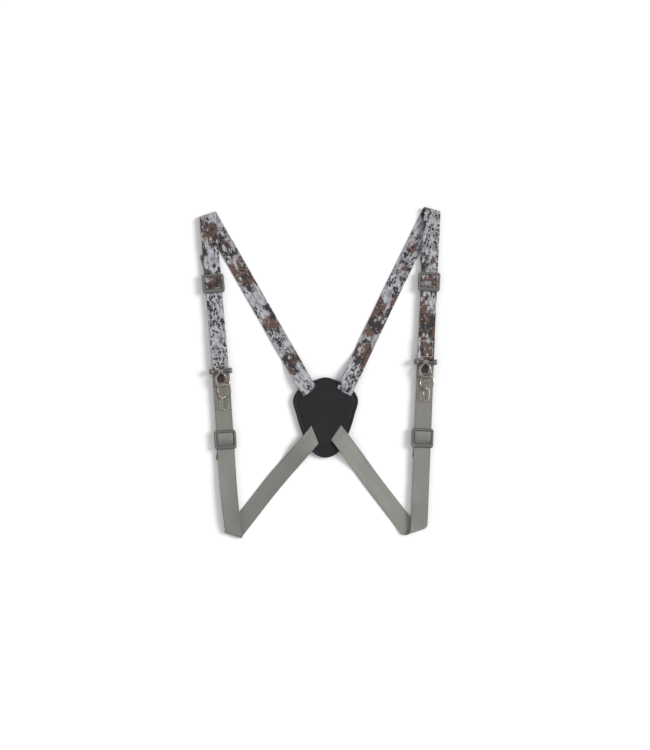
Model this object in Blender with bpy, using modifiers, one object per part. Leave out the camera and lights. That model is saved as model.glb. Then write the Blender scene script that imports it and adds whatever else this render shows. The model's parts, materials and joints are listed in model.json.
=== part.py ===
"""A binocular harness: a yoke plate with a strap loop at each side, and the hardware that carries the binocular.

It lies flat, face up. +X points to the right-hand loop, +Y to the shoulder folds and +Z up. The origin is on the
surface it lies on, at the middle of its footprint. Lengths are in metres, and MM turns millimetres into metres.
"""
import math

import bmesh
import bpy
from mathutils import Matrix, Vector

MM = 0.001
GAP = 0.3 * MM  # left between neighbouring pieces
OBJECT_NAME = "binocular_harness"

# Straps: 25 mm class webbing, folded over at the shoulder and under the arm
STRAP_THICKNESS = 1.3 * MM
SHOULDER_WIDTH = 24 * MM
SIDE_WIDTH = 25 * MM
FOLD_RADIUS = 3.5 * MM
LOW_LEVEL = STRAP_THICKNESS / 2
HIGH_LEVEL = LOW_LEVEL + 2 * FOLD_RADIUS
LAYER_PITCH = STRAP_THICKNESS + GAP
SEWN_LENGTH = 28 * MM  # of the end that is folded back round the web bar

# Yoke: back plate, core and front plate on each other
YOKE_CENTRE = Vector((8, -66)) * MM
YOKE_OUTLINE = [(0, 59), (17, 54), (36, 45), (47.5, 27), (43, 5), (34, -23), (20, -49.5), (0, -59)]
PLATE_THICKNESS = 2.2 * MM
CORE_THICKNESS = 2.0 * MM
CORE_SCALE = 0.95  # of the core's outline to the plates'
CORE_BOTTOM = PLATE_THICKNESS + GAP
FRONT_BOTTOM = CORE_BOTTOM + CORE_THICKNESS + GAP
YOKE_TOP = FRONT_BOTTOM + PLATE_THICKNESS
YOKE_STRAP_LEVEL = YOKE_TOP + GAP + STRAP_THICKNESS / 2
SLOT_LENGTH = 26.6 * MM
SLOT_WIDTH = 3.6 * MM
TAB_LENGTH = 8.5 * MM
ON_YOKE = 27 * MM  # how far a strap lies on the plate before it comes down
COME_DOWN = 30 * MM  # how long it takes to reach the surface

# Slides: tri-glides, the same at all four places
SLIDE_WIDTH = 32 * MM
SLIDE_LENGTH = 28 * MM
SLIDE_CORNER = 4 * MM
SLIDE_TUNNEL = 26.2 * MM  # between the rails, where the strap runs
SLIDE_TOP_BAR = 3.5 * MM
SLIDE_BOTTOM_BAR = 6.5 * MM
SLIDE_WINDOW = 22.8 * MM
SLIDE_COVER = 2.2 * MM  # thickness of the outer bars
SLIDE_ROD = 1.0 * MM  # radius of the bar that the tail is sewn round
SLIDE_ROD_Y = (SLIDE_BOTTOM_BAR - SLIDE_TOP_BAR) / 2
WRAP_RADIUS = SLIDE_ROD + GAP + STRAP_THICKNESS / 2  # of a strap's middle round a rod
SLIDE_ROD_LEVEL = -LAYER_PITCH - WRAP_RADIUS  # below the middle of the strap
RAIL_SLOPE = math.radians(32)  # of the rails' lower edges

# Web bar: two knobs, a rod for each strap and a front rod for the hook
BAR_OPENING = 25.8 * MM
KNOB_THICKNESS = 4 * MM
KNOB_LENGTH = 8.2 * MM
KNOB_ROUNDING = 1.8 * MM
STRAP_ROD_OFFSET = 2.75 * MM
STRAP_ROD_LEVEL = HIGH_LEVEL - WRAP_RADIUS
HOOK_ROD = 1.3 * MM
HOOK_LEVEL = 13.3 * MM

# Snap hook, gate, split ring and link, from the middle of the hook rod
HOOK_WIRE = 1.2 * MM
HOOK_PATH = [(-1.5, -3.2), (-5, -5.2), (-7.6, -9), (-8.2, -14), (-7, -18.4), (-4.2, -21), (-1.5, -21.6),
             (3, -21.6), (7.5, -21.6), (10.6, -21.4), (12, -19), (11.8, -15.8)]
SLEEVE_RADIUS = 2.9 * MM
SLEEVE_LENGTH = 7.4 * MM
ARM_PLACE = Vector((3, -21.6, 0)) * MM  # on the hook's straight lower arm
PIVOT_PLACE = Vector((5.4, -5.0, 0)) * MM
LUG_RADIUS = 2.3 * MM
LUG_THICKNESS = 2.0 * MM
GATE_WIRE = 0.8 * MM
GATE_PATH = [(5.4, -5.0, -2.0), (5.4, -5.0, 0), (5.45, -5.2, 1.7), (6.6, -8, 2.0), (8.4, -12.4, 0.9),
             (9.2, -16.6, 0)]
RING_WIRE = 0.7 * MM
RING_RADIUS = 10.5 * MM
RING_TILT = math.radians(22)
RING_REACH = 2.5 * MM  # of the ring past the arm that it hangs on
LINK_WIRE = 0.7 * MM
LINK_RADIUS = 4.3 * MM
LINK_STRAIGHT = 10 * MM
LINK_TILT = math.radians(-20)
LINK_REACH = 2.0 * MM

# Each side, in the plan: the yoke slots, the outer edge of each fold, and the middle of the web bar
SIDES = {
    "left": {
        "bar": Vector((-145.5, 2.1)) * MM,
        "shoulder": {"slot": (-15.4, -28.1), "slot_angle": 40.5, "fold": (-164.7, 232), "slide": 126},
        "side": {"slot": (-8.0, -91.5), "slot_angle": -68, "fold": (-129, -238), "slide": 98},
    },
    "right": {
        "bar": Vector((154.5, 15.7)) * MM,
        "shoulder": {"slot": (35, -28.5), "slot_angle": -29.2, "fold": (164.3, 239.5), "slide": 114.5},
        "side": {"slot": (23.8, -88.3), "slot_angle": 56, "fold": (144, -232), "slide": 109},
    },
}
TAIL_LENGTH = {"shoulder": 42 * MM, "side": 30 * MM}
STRAP_WIDTH = {"shoulder": SHOULDER_WIDTH, "side": SIDE_WIDTH}

# Colours as red, green and blue from 0 to 255, then roughness and metallic
FINISHES = {
    "yoke": ((50, 47, 51), 0.6, 0.0),
    "camo_webbing": ((150, 146, 146), 0.9, 0.0),
    "grey_elastic": ((132, 132, 125), 0.9, 0.0),
    "slide_plastic": ((120, 118, 120), 0.45, 0.0),
    "hook_plastic": ((140, 135, 130), 0.4, 0.0),
    "ring_metal": ((190, 175, 160), 0.25, 1.0),
}


# Small tools

def linear(channel):
    """A colour channel from 0 to 255 as the shader's linear value."""
    share = channel / 255
    return share / 12.92 if share <= 0.04045 else ((share + 0.055) / 1.055) ** 2.4


def make_materials():
    for name, (colour, roughness, metallic) in FINISHES.items():
        made = bpy.data.materials.new(name)
        made.use_nodes = True
        shader = made.node_tree.nodes["Principled BSDF"]
        shader.inputs["Base Color"].default_value = (*map(linear, colour), 1)
        shader.inputs["Roughness"].default_value = roughness
        shader.inputs["Metallic"].default_value = metallic


def add_part(name, mesh, finish, parent, matrix=None, smooth_angle=35):
    """A named part of the harness, with its finish, placed in its parent by matrix."""
    mesh.materials.clear()
    mesh.materials.append(bpy.data.materials[finish])
    mesh.shade_smooth()
    mesh.set_sharp_from_angle(angle=math.radians(smooth_angle))
    part = bpy.data.objects.new(name, mesh)
    bpy.data.collections[OBJECT_NAME].objects.link(part)
    part.parent = parent
    part.matrix_local = matrix or Matrix()
    return part


def add_pivot(name, parent, matrix=None):
    """An empty on a joint, which carries what moves with that joint."""
    pivot = bpy.data.objects.new(name, None)
    bpy.data.collections[OBJECT_NAME].objects.link(pivot)
    pivot.empty_display_size = 10 * MM
    pivot.parent = parent
    pivot.matrix_local = matrix or Matrix()
    return pivot


def loose_object(name, data):
    """An object that is only there while its mesh is made."""
    made = bpy.data.objects.new(name, data)
    bpy.context.scene.collection.objects.link(made)
    return made


def baked(target, *operations):
    """The mesh of a solid after each (operation, tool) Boolean. The solid and its tools are used up."""
    for operation, tool in operations:
        step = target.modifiers.new(operation.title(), "BOOLEAN")
        step.operation = operation
        step.object = tool
    bpy.context.view_layer.update()
    evaluated = target.evaluated_get(bpy.context.evaluated_depsgraph_get())
    mesh = bpy.data.meshes.new_from_object(evaluated)
    mesh.transform(target.matrix_world)
    welded = bmesh.new()
    welded.from_mesh(mesh)
    bmesh.ops.remove_doubles(welded, verts=welded.verts, dist=0.001 * MM)
    welded.to_mesh(mesh)
    welded.free()
    for used in [target] + [tool for _, tool in operations]:
        bpy.data.objects.remove(used)
    return mesh


def solid_from(build):
    """A loose object whose mesh build(bm) fills in."""
    bm = bmesh.new()
    build(bm)
    mesh = bpy.data.meshes.new("solid")
    bm.to_mesh(mesh)
    bm.free()
    return loose_object("solid", mesh)


def box(size, centre, turn=None):
    """A loose box of that size, turned about its centre."""
    matrix = Matrix.Translation(centre) @ (turn or Matrix()) @ Matrix.Diagonal((*size, 1))
    return solid_from(lambda bm: bmesh.ops.create_cube(bm, size=1, matrix=matrix))


def rounded_box(size, centre, rounding):
    """A loose box with all its edges rounded."""
    def build(bm):
        matrix = Matrix.Translation(centre) @ Matrix.Diagonal((*size, 1))
        bmesh.ops.create_cube(bm, size=1, matrix=matrix)
        bmesh.ops.bevel(bm, geom=bm.edges[:], offset=rounding, segments=3, profile=0.5, affect="EDGES")
    return solid_from(build)


def rod(radius, length, centre, axis="X", sides=16):
    """A loose round rod along X or Z."""
    turn = Matrix.Rotation(math.pi / 2, 4, "Y") if axis == "X" else Matrix()
    matrix = Matrix.Translation(centre) @ turn
    return solid_from(lambda bm: bmesh.ops.create_cone(
        bm, cap_ends=True, segments=sides, radius1=radius, radius2=radius, depth=length, matrix=matrix))


def smooth_path(points, steps):
    """Points along a smooth curve through the given points, which may have two or three coordinates."""
    knots = [Vector((*point, 0)[:3]) * MM for point in points]
    knots = [2 * knots[0] - knots[1]] + knots + [2 * knots[-1] - knots[-2]]
    path = []
    for a, b, c, d in zip(knots, knots[1:], knots[2:], knots[3:]):
        for step in range(steps):
            u = step / steps
            path.append(0.5 * (2 * b + (c - a) * u + (2 * a - 5 * b + 4 * c - d) * u * u
                               + (3 * b - a - 3 * c + d) * u ** 3))
    return path + [knots[-2]]


def wire(path, radius, closed=False):
    """A loose tube along a path."""
    curve = bpy.data.curves.new("wire", "CURVE")
    curve.dimensions = "3D"
    curve.bevel_depth = radius
    curve.bevel_resolution = 2
    curve.use_fill_caps = not closed
    spline = curve.splines.new("POLY")
    spline.points.add(len(path) - 1)
    for point, place in zip(spline.points, path):
        point.co = (*place, 1)
    spline.use_cyclic_u = closed
    tube = loose_object("wire", curve)
    return loose_object("tube", baked(tube))


def plate(outlines, thickness):
    """A loose flat plate, centred on z = 0, from a smooth outline and straight-sided holes in it."""
    curve = bpy.data.curves.new("plate", "CURVE")
    curve.dimensions = "2D"
    curve.fill_mode = "BOTH"
    curve.extrude = thickness / 2
    for outline in outlines:
        spline = curve.splines.new("POLY")
        spline.points.add(len(outline) - 1)
        for point, place in zip(spline.points, outline):
            point.co = (place[0], place[1], 0, 1)
        spline.use_cyclic_u = True
    sheet = loose_object("plate", curve)
    return loose_object("plate", baked(sheet))


# Yoke

def yoke_outline(scale=1.0, steps=5):
    """The yoke's outline: its right half as a smooth curve, mirrored to the left."""
    half = [(x * scale, y * scale) for x, y in YOKE_OUTLINE]
    mirrored = [(-x, y) for x, y in half]
    knots = [mirrored[1]] + half + [mirrored[-2]]
    right = smooth_path(knots, steps)[steps:-steps]
    left = [Vector((-point.x, point.y, 0)) for point in reversed(right[1:-1])]
    return [YOKE_CENTRE + point.to_2d() for point in right + left]


def slot_frame(strap_end):
    """The middle of a slot, the direction along it, and the direction into the yoke across it."""
    middle = Vector(strap_end["slot"]) * MM
    angle = math.radians(strap_end["slot_angle"])
    along = Vector((math.cos(angle), math.sin(angle)))
    inward = Vector((-along.y, along.x))
    if inward.dot(YOKE_CENTRE - middle) < 0:
        inward = -inward
    return middle, along, inward


def slot_rectangle(strap_end, length, outer, inner):
    """The corners of a rectangle along a slot, from outer to inner across it."""
    middle, along, inward = slot_frame(strap_end)
    half = along * length / 2
    return [middle - half + inward * outer, middle + half + inward * outer,
            middle + half + inward * inner, middle - half + inward * inner]


def strap_ends():
    return [(side, which, SIDES[side][which]) for side in SIDES for which in ("shoulder", "side")]


def make_yoke(root):
    slots = [slot_rectangle(end, SLOT_LENGTH, -SLOT_WIDTH / 2, SLOT_WIDTH / 2) for _, _, end in strap_ends()]
    pockets = [slot_rectangle(end, SLOT_LENGTH, -1.5 * MM, TAB_LENGTH + 1 * MM) for _, _, end in strap_ends()]
    layers = [
        ("yoke_back_plate", [yoke_outline()], PLATE_THICKNESS, 0),
        ("yoke_core", [yoke_outline(CORE_SCALE)] + pockets, CORE_THICKNESS, CORE_BOTTOM),
        ("yoke_front_plate", [yoke_outline()] + slots, PLATE_THICKNESS, FRONT_BOTTOM),
    ]
    for name, outlines, thickness, bottom in layers:
        mesh = baked(plate(outlines, thickness))
        add_part(name, mesh, "yoke", root, Matrix.Translation((0, 0, bottom + thickness / 2)))


def make_anchor_tab(root, side, which, end):
    """The strap's end, down through its slot and flat in its pocket in the core."""
    middle, along, inward = slot_frame(end)
    pocket_level = CORE_BOTTOM + CORE_THICKNESS / 2
    profile = [(0, YOKE_TOP - GAP), (0, pocket_level + 1.4 * MM), (0.5 * MM, pocket_level + 0.4 * MM),
               (1.6 * MM, pocket_level), (TAB_LENGTH, pocket_level)]
    half = along * STRAP_WIDTH[which] / 2
    rows = [[(*(middle + inward * across + half * share), level) for share in (-1, 0, 1)]
            for across, level in profile]
    finish = {"shoulder": "camo_webbing", "side": "grey_elastic"}[which]
    add_part(f"{side}_{which}_anchor_tab", ribbon_mesh(rows), finish, root)


# Straps

def ribbon_mesh(rows):
    """The solid of a strap whose middle surface runs through rows of points."""
    bm = bmesh.new()
    grid = [[bm.verts.new(point) for point in row] for row in rows]
    for row, after in zip(grid, grid[1:]):
        for index in range(len(row) - 1):
            bm.faces.new((row[index], row[index + 1], after[index + 1], after[index]))
    mesh = bpy.data.meshes.new("ribbon")
    bm.to_mesh(mesh)
    bm.free()
    ribbon = loose_object("ribbon", mesh)
    solid = ribbon.modifiers.new("Thickness", "SOLIDIFY")
    solid.thickness = STRAP_THICKNESS
    solid.offset = 0
    solid.use_even_offset = True
    return baked(ribbon)


def ease(share):
    """0 to 1 with level ends."""
    share = min(max(share, 0), 1)
    return share * share * (3 - 2 * share)


def wrapped_end(distance):
    """Where a strap is that goes on past a rod: (how far along, how far down) for a distance past its top."""
    arc = math.pi * WRAP_RADIUS
    if distance <= arc:
        angle = distance / WRAP_RADIUS
        return WRAP_RADIUS * math.sin(angle), WRAP_RADIUS * (1 - math.cos(angle))
    back = distance - arc
    rise = (2 * WRAP_RADIUS - LAYER_PITCH) * ease(back / (9 * MM))
    return -back, 2 * WRAP_RADIUS - rise


def wrap_distances(length):
    """Distances past the top of a rod for a strap end that is sewn back for that length."""
    arc = math.pi * WRAP_RADIUS
    return [arc * step / 8 for step in range(1, 9)] + [arc + length * step / 6 for step in range(1, 7)]


class FoldedStrap:
    """A strap that leaves its slot, runs out along the floor, folds over and comes back above itself to a rod.

    s is the distance along the flat strap from its slot, and t the distance to the left of its middle.
    """

    def __init__(self, width, end, rod_place):
        self.width = width
        self.slot, slot_along, _ = slot_frame(end)
        tip = Vector(end["fold"]) * MM
        crease, comeback = tip, tip
        for _ in range(12):  # settles the two legs' directions, which depend on where the bend ends
            self.lower = (crease - self.slot).normalized()
            self.upper = (rod_place - comeback).normalized()
            self.across = (self.lower - self.upper).normalized()
            along = Vector((self.across.y, -self.across.x))
            drift = self.lower.dot(along) / self.lower.dot(self.across)
            crease = tip - self.across * FOLD_RADIUS - along * drift * math.pi * FOLD_RADIUS / 2
            comeback = crease + along * drift * math.pi * FOLD_RADIUS
        self.left = Vector((-self.lower.y, self.lower.x))
        self.crease_s = (crease - self.slot).length
        self.crease = crease
        self.bend_s = self.crease_s + math.pi * FOLD_RADIUS / self.lower.dot(self.across)
        self.rod_s = self.bend_s + (rod_place - comeback).length
        self.slot_shear = slot_along.dot(self.lower) / slot_along.dot(self.left)
        self.crease_shear = along.dot(self.lower) / along.dot(self.left)

    def place(self, s, t):
        """The point of the strap's middle surface at s and t, for a strap that goes straight on past its rod."""
        flat = self.slot + self.lower * s + self.left * t
        beyond = (flat - self.crease).dot(self.across)
        if beyond <= 0:
            on_yoke = 1 - ease((s - ON_YOKE) / COME_DOWN)
            return Vector((*flat, LOW_LEVEL + (YOKE_STRAP_LEVEL - LOW_LEVEL) * on_yoke))
        angle = min(beyond / FOLD_RADIUS, math.pi)
        past = max(0, beyond - math.pi * FOLD_RADIUS)
        plan = flat + self.across * (FOLD_RADIUS * math.sin(angle) - beyond - past)
        return Vector((*plan, LOW_LEVEL + FOLD_RADIUS * (1 - math.cos(angle))))

    def stations(self):
        """(s, shear) of each row: the rows lie along the slot, then along the crease, then square to the strap."""
        first = 1.3 * MM
        rows = []
        for step in range(14):
            share = step / 13
            rows.append((first + (self.crease_s - first) * share,
                         self.slot_shear + (self.crease_shear - self.slot_shear) * ease(share * 2 - 0.5)))
        for step in range(1, 9):
            rows.append((self.crease_s + (self.bend_s - self.crease_s) * step / 8, self.crease_shear))
        for step in range(1, 7):
            share = step / 6
            rows.append((self.bend_s + (self.rod_s - self.bend_s) * share, self.crease_shear * (1 - share)))
        return rows

    def rows(self):
        """Rows of points of the whole strap, with its end sewn back round the rod."""
        sides = (-self.width / 2, 0, self.width / 2)
        rows = [[self.place(s + shear * t, t) for t in sides] for s, shear in self.stations()]
        for distance in wrap_distances(SEWN_LENGTH):
            along, down = wrapped_end(distance)
            rows.append([self.place(self.rod_s + along, t) - Vector((0, 0, down)) for t in sides])
        return rows


def make_tail(name, which, finish, pivot):
    """The second layer behind a strap, sewn round the slide's rod. It points away from the web bar."""
    away = {"shoulder": 1, "side": -1}[which]
    half = STRAP_WIDTH[which] / 2
    rows = []
    profile = [(-length, 0) for length in (TAIL_LENGTH[which], TAIL_LENGTH[which] / 2, 0)]
    profile += [wrapped_end(distance) for distance in wrap_distances(20 * MM)]
    for along, down in profile:
        rows.append([(t, SLIDE_ROD_Y - away * along, -LAYER_PITCH - down) for t in (-half, 0, half)])
    add_part(name, ribbon_mesh(rows), finish, pivot)


# Hardware

def slide_mesh():
    """A tri-glide about the middle of the strap that runs through it. Its thick bar is at -Y."""
    top = STRAP_THICKNESS / 2 + GAP + SLIDE_COVER
    bottom = SLIDE_ROD_LEVEL - SLIDE_ROD - 0.2 * MM
    middle = (top + bottom) / 2
    corner = SLIDE_CORNER
    outline = []
    for quarter in range(4):
        start = quarter * math.pi / 2
        centre = Vector((math.copysign(SLIDE_WIDTH / 2 - corner, math.cos(start + math.pi / 4)),
                         math.copysign(SLIDE_LENGTH / 2 - corner, math.sin(start + math.pi / 4))))
        for step in range(5):
            angle = start + step * math.pi / 8
            outline.append(centre + Vector((math.cos(angle), math.sin(angle))) * corner)
    block = plate([outline], top - bottom)
    block.location.z = middle
    tunnel = box((SLIDE_TUNNEL, 2 * SLIDE_LENGTH, 20 * MM), (0, 0, STRAP_THICKNESS / 2 + GAP - 10 * MM))
    window_length = SLIDE_LENGTH - SLIDE_TOP_BAR - SLIDE_BOTTOM_BAR
    window = box((SLIDE_WINDOW, window_length, 30 * MM), (0, SLIDE_ROD_Y, 0))
    steps = [("DIFFERENCE", tunnel), ("DIFFERENCE", window)]
    for end in (-1, 1):
        turn = Matrix.Rotation(end * RAIL_SLOPE, 4, "X")
        foot = Vector((0, end * (SLIDE_LENGTH / 2 + 1 * MM), 0.2 * MM))
        centre = foot + turn.to_3x3() @ Vector((0, 0, -10 * MM))
        steps.append(("DIFFERENCE", box((2 * SLIDE_WIDTH, 60 * MM, 20 * MM), centre, turn)))
    bar = rod(SLIDE_ROD, SLIDE_TUNNEL + 2 * MM, (0, SLIDE_ROD_Y, SLIDE_ROD_LEVEL))
    return baked(block, *steps, ("UNION", bar))


def web_bar_mesh():
    """The connector bar about the middle of its hook rod, with the shoulder strap's rod at +Y."""
    rod_level = STRAP_ROD_LEVEL - HOOK_LEVEL
    top = HOOK_ROD + 0.5 * MM
    bottom = rod_level - SLIDE_ROD - 0.4 * MM
    knob_x = (BAR_OPENING + KNOB_THICKNESS) / 2
    knobs = [rounded_box((KNOB_THICKNESS, KNOB_LENGTH, top - bottom), (x, 0, (top + bottom) / 2), KNOB_ROUNDING)
             for x in (-knob_x, knob_x)]
    length = BAR_OPENING + KNOB_THICKNESS
    rods = [rod(SLIDE_ROD, length, (0, y, rod_level)) for y in (-STRAP_ROD_OFFSET, STRAP_ROD_OFFSET)]
    rods.append(rod(HOOK_ROD, length, (0, 0, 0)))
    first = rods.pop()
    return baked(first, *(("UNION", piece) for piece in knobs + rods))


def hook_mesh():
    """The teardrop hook: a sleeve on the hook rod, one curved arm with a nose, and a lug for the gate."""
    sleeve = rod(SLEEVE_RADIUS, SLEEVE_LENGTH, (0, 0, 0), sides=24)
    arm = wire(smooth_path(HOOK_PATH, 3), HOOK_WIRE)
    neck = wire(smooth_path([(1.5, -3.2), (3.9, -4.3)], 2), HOOK_WIRE)
    lug = rod(LUG_RADIUS, LUG_THICKNESS, PIVOT_PLACE, axis="Z", sides=20)
    bore = rod(HOOK_ROD + GAP, 2 * SLEEVE_LENGTH, (0, 0, 0), sides=24)
    pivot_hole = rod(GATE_WIRE + GAP, 4 * LUG_THICKNESS, PIVOT_PLACE, axis="Z")
    return baked(sleeve, ("UNION", arm), ("UNION", neck), ("UNION", lug),
                 ("DIFFERENCE", bore), ("DIFFERENCE", pivot_hole))


def loop_path(radius, straight, count):
    """A ring's or long link's middle line in the XY plane, about the middle of its upper bend."""
    path = []
    for step in range(count):
        angle = 2 * math.pi * (step + 0.5) / count
        drop = 0 if math.sin(angle) > 0 else straight
        path.append(Vector((radius * math.cos(angle), radius * math.sin(angle) - drop, 0)))
    return path


def make_hardware(side, loop):
    """Hook, gate, ring and link, each on the pivot of its own joint."""
    hook = add_pivot(f"{side}_hook_pivot", loop)
    add_part(f"{side}_snap_hook", hook_mesh(), "hook_plastic", hook)
    gate = add_pivot(f"{side}_gate_pivot", hook, Matrix.Translation(PIVOT_PLACE))
    gate_mesh = baked(wire(smooth_path(GATE_PATH, 4), GATE_WIRE))
    gate_mesh.transform(Matrix.Translation(-PIVOT_PLACE))
    add_part(f"{side}_hook_gate", gate_mesh, "ring_metal", gate)

    ring = add_pivot(f"{side}_ring_pivot", hook, Matrix.Translation(ARM_PLACE))
    ring_drop = RING_REACH - RING_RADIUS
    ring_mesh = baked(wire(loop_path(RING_RADIUS, 0, 36), RING_WIRE, closed=True))
    ring_mesh.transform(Matrix.Translation((0, ring_drop, 0)) @ Matrix.Rotation(-RING_TILT, 4, "Y"))
    add_part(f"{side}_split_ring", ring_mesh, "ring_metal", ring)

    link = add_pivot(f"{side}_link_pivot", ring, Matrix.Translation((0, ring_drop - RING_RADIUS, 0)))
    link_mesh = baked(wire(loop_path(LINK_RADIUS, LINK_STRAIGHT, 24), LINK_WIRE, closed=True))
    link_place = Matrix.Translation((0, LINK_REACH - LINK_RADIUS, 0)) @ Matrix.Rotation(-LINK_TILT, 4, "Y")
    link_mesh.transform(link_place)
    add_part(f"{side}_connector_link", link_mesh, "ring_metal", link)


# Assembly

def frame_at(place, level, right):
    """A matrix at a place in the plan, with its X axis along right and its Z axis up."""
    up_strap = Vector((-right.y, right.x))
    axes = Matrix((right.to_3d(), up_strap.to_3d(), Vector((0, 0, 1)))).transposed()
    return Matrix.Translation((*place, level)) @ axes.to_4x4()


def swing_place(plan):
    """The inner end of the side slot. A loop swings about the line from there to the shoulder slot's inner end."""
    middle, along, _ = slot_frame(plan["side"])
    outward = plan["bar"].x - YOKE_CENTRE.x
    inner_end = middle - along * math.copysign(SIDE_WIDTH / 2, along.x * outward)
    return Vector((*inner_end, YOKE_STRAP_LEVEL))


def make_side(root, side):
    """One loop: two straps on a web bar, a slide and a tail on each strap, and the hook."""
    plan = SIDES[side]
    up = (Vector(plan["shoulder"]["fold"]) - Vector(plan["side"]["fold"])).normalized()
    rods = {"shoulder": plan["bar"] + up * STRAP_ROD_OFFSET, "side": plan["bar"] - up * STRAP_ROD_OFFSET}
    swing = Matrix.Translation(swing_place(plan))
    loop = add_pivot(f"{side}_loop_pivot", root, swing)
    from_swing = swing.inverted()
    bar_place = frame_at(plan["bar"], HOOK_LEVEL, Vector((up.y, -up.x)))
    web_bar = add_pivot(f"{side}_web_bar_place", loop, from_swing @ bar_place)
    add_part(f"{side}_web_bar", web_bar_mesh(), "hook_plastic", web_bar)
    make_hardware(side, web_bar)
    slide_shape = slide_mesh()
    for which, finish in (("shoulder", "camo_webbing"), ("side", "grey_elastic")):
        strap = FoldedStrap(STRAP_WIDTH[which], plan[which], rods[which])
        add_part(f"{side}_{which}_strap", ribbon_mesh(strap.rows()), finish, loop, from_swing)
        slide_place = strap.place(strap.rod_s - plan[which]["slide"] * MM, 0)
        downward = strap.upper if which == "shoulder" else -strap.upper
        place = frame_at(slide_place.to_2d(), HIGH_LEVEL, Vector((-downward.y, downward.x)))
        pivot = add_pivot(f"{side}_{which}_slide_pivot", loop, from_swing @ place)
        add_part(f"{side}_{which}_slide", slide_shape, "slide_plastic", pivot)
        make_tail(f"{side}_{which}_strap_tail", which, finish, pivot)


def centre_on_origin(root):
    """Moves the whole harness so that the middle of its footprint is at the origin."""
    bpy.context.view_layer.update()
    parts = [part for part in bpy.data.collections[OBJECT_NAME].objects if part.type == "MESH"]
    corners = [part.matrix_world @ vertex.co for part in parts for vertex in part.data.vertices]
    for axis in (0, 1):
        values = [corner[axis] for corner in corners]
        root.location[axis] -= (min(values) + max(values)) / 2


def main():
    for old in list(bpy.data.objects):
        bpy.data.objects.remove(old)
    collection = bpy.data.collections.new(OBJECT_NAME)
    bpy.context.scene.collection.children.link(collection)
    make_materials()
    root = add_pivot("harness", None)
    make_yoke(root)
    for side, which, end in strap_ends():
        make_anchor_tab(root, side, which, end)
    for side in SIDES:
        make_side(root, side)
    centre_on_origin(root)


main()
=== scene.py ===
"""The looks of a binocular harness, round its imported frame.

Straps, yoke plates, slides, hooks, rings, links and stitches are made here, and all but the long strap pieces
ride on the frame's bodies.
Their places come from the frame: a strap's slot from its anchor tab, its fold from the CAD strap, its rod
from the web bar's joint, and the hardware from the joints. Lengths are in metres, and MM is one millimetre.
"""
import json
import math

import bmesh
import bpy
from mathutils import Matrix, Vector, noise


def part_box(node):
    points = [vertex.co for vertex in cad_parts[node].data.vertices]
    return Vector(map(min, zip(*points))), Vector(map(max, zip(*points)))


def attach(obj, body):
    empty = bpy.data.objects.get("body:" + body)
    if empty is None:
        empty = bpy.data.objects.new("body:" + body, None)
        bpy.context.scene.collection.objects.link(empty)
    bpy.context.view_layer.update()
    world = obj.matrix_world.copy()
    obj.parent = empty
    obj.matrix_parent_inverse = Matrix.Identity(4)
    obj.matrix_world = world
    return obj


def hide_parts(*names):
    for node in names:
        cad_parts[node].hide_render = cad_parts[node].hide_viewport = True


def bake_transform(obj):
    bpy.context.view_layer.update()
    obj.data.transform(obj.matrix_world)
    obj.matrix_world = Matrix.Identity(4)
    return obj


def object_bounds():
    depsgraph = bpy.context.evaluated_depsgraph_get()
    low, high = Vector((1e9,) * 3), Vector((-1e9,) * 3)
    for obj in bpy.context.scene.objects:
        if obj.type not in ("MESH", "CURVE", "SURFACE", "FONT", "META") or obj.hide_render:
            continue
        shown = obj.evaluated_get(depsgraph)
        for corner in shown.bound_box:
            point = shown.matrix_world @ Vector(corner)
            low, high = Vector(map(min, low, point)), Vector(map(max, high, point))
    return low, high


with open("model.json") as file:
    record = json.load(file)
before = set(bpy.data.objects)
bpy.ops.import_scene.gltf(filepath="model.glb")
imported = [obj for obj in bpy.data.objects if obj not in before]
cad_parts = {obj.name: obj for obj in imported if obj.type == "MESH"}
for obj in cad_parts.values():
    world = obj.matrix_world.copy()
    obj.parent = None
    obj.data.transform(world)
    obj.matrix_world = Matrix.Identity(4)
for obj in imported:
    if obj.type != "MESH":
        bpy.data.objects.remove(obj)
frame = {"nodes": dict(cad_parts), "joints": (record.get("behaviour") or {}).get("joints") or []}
cad_low, cad_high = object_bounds()

MM = 0.001
UP = Vector((0, 0, 1))
GAP = 0.3 * MM  # that the frame leaves between neighbouring pieces

# Straps, as the frame holds them
STRAP_THICKNESS = 1.3 * MM
STRAP_WIDTH = {"shoulder": 24 * MM, "side": 25 * MM}
AWAY_FROM_BAR = {"shoulder": 1, "side": -1}  # along Y
FOLD_RADIUS = 3.5 * MM
FOLD_ARC = math.pi * FOLD_RADIUS
LOW_LEVEL = STRAP_THICKNESS / 2
HIGH_LEVEL = LOW_LEVEL + 2 * FOLD_RADIUS
SLIDE_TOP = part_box("left_side_slide")[1].z
LAYER_PITCH = STRAP_THICKNESS + GAP
YOKE_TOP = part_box("yoke_front_plate")[1].z
YOKE_STRAP_LEVEL = YOKE_TOP + GAP + STRAP_THICKNESS / 2
POCKET_LEVEL = (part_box("yoke_core")[0].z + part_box("yoke_core")[1].z) / 2
ON_YOKE = 24 * MM  # how far a strap lies on the plate before it comes down
COME_DOWN = 42 * MM  # how long it takes to reach the floor
SEWN_LENGTH = 28 * MM  # of the end that is folded back round the web bar
SEWN_PITCH = STRAP_THICKNESS + 0.12 * MM  # between two layers that are sewn together
SEWN_WIDER = 0.4 * MM  # than the strap below it
SEWN_ROLL = 0.3  # metres further along the printed roll
TAIL_ROLL = 0.4
TUCK_RADIUS = 1.0 * MM  # of the turn down into the slot
TUCK_LENGTH = 11.5 * MM  # of the end that goes down the slot and into its pocket
ROD_RADIUS = 1.0 * MM
WRAP_RADIUS = ROD_RADIUS + GAP + STRAP_THICKNESS / 2
WRAP_ARC = math.pi * WRAP_RADIUS
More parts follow.
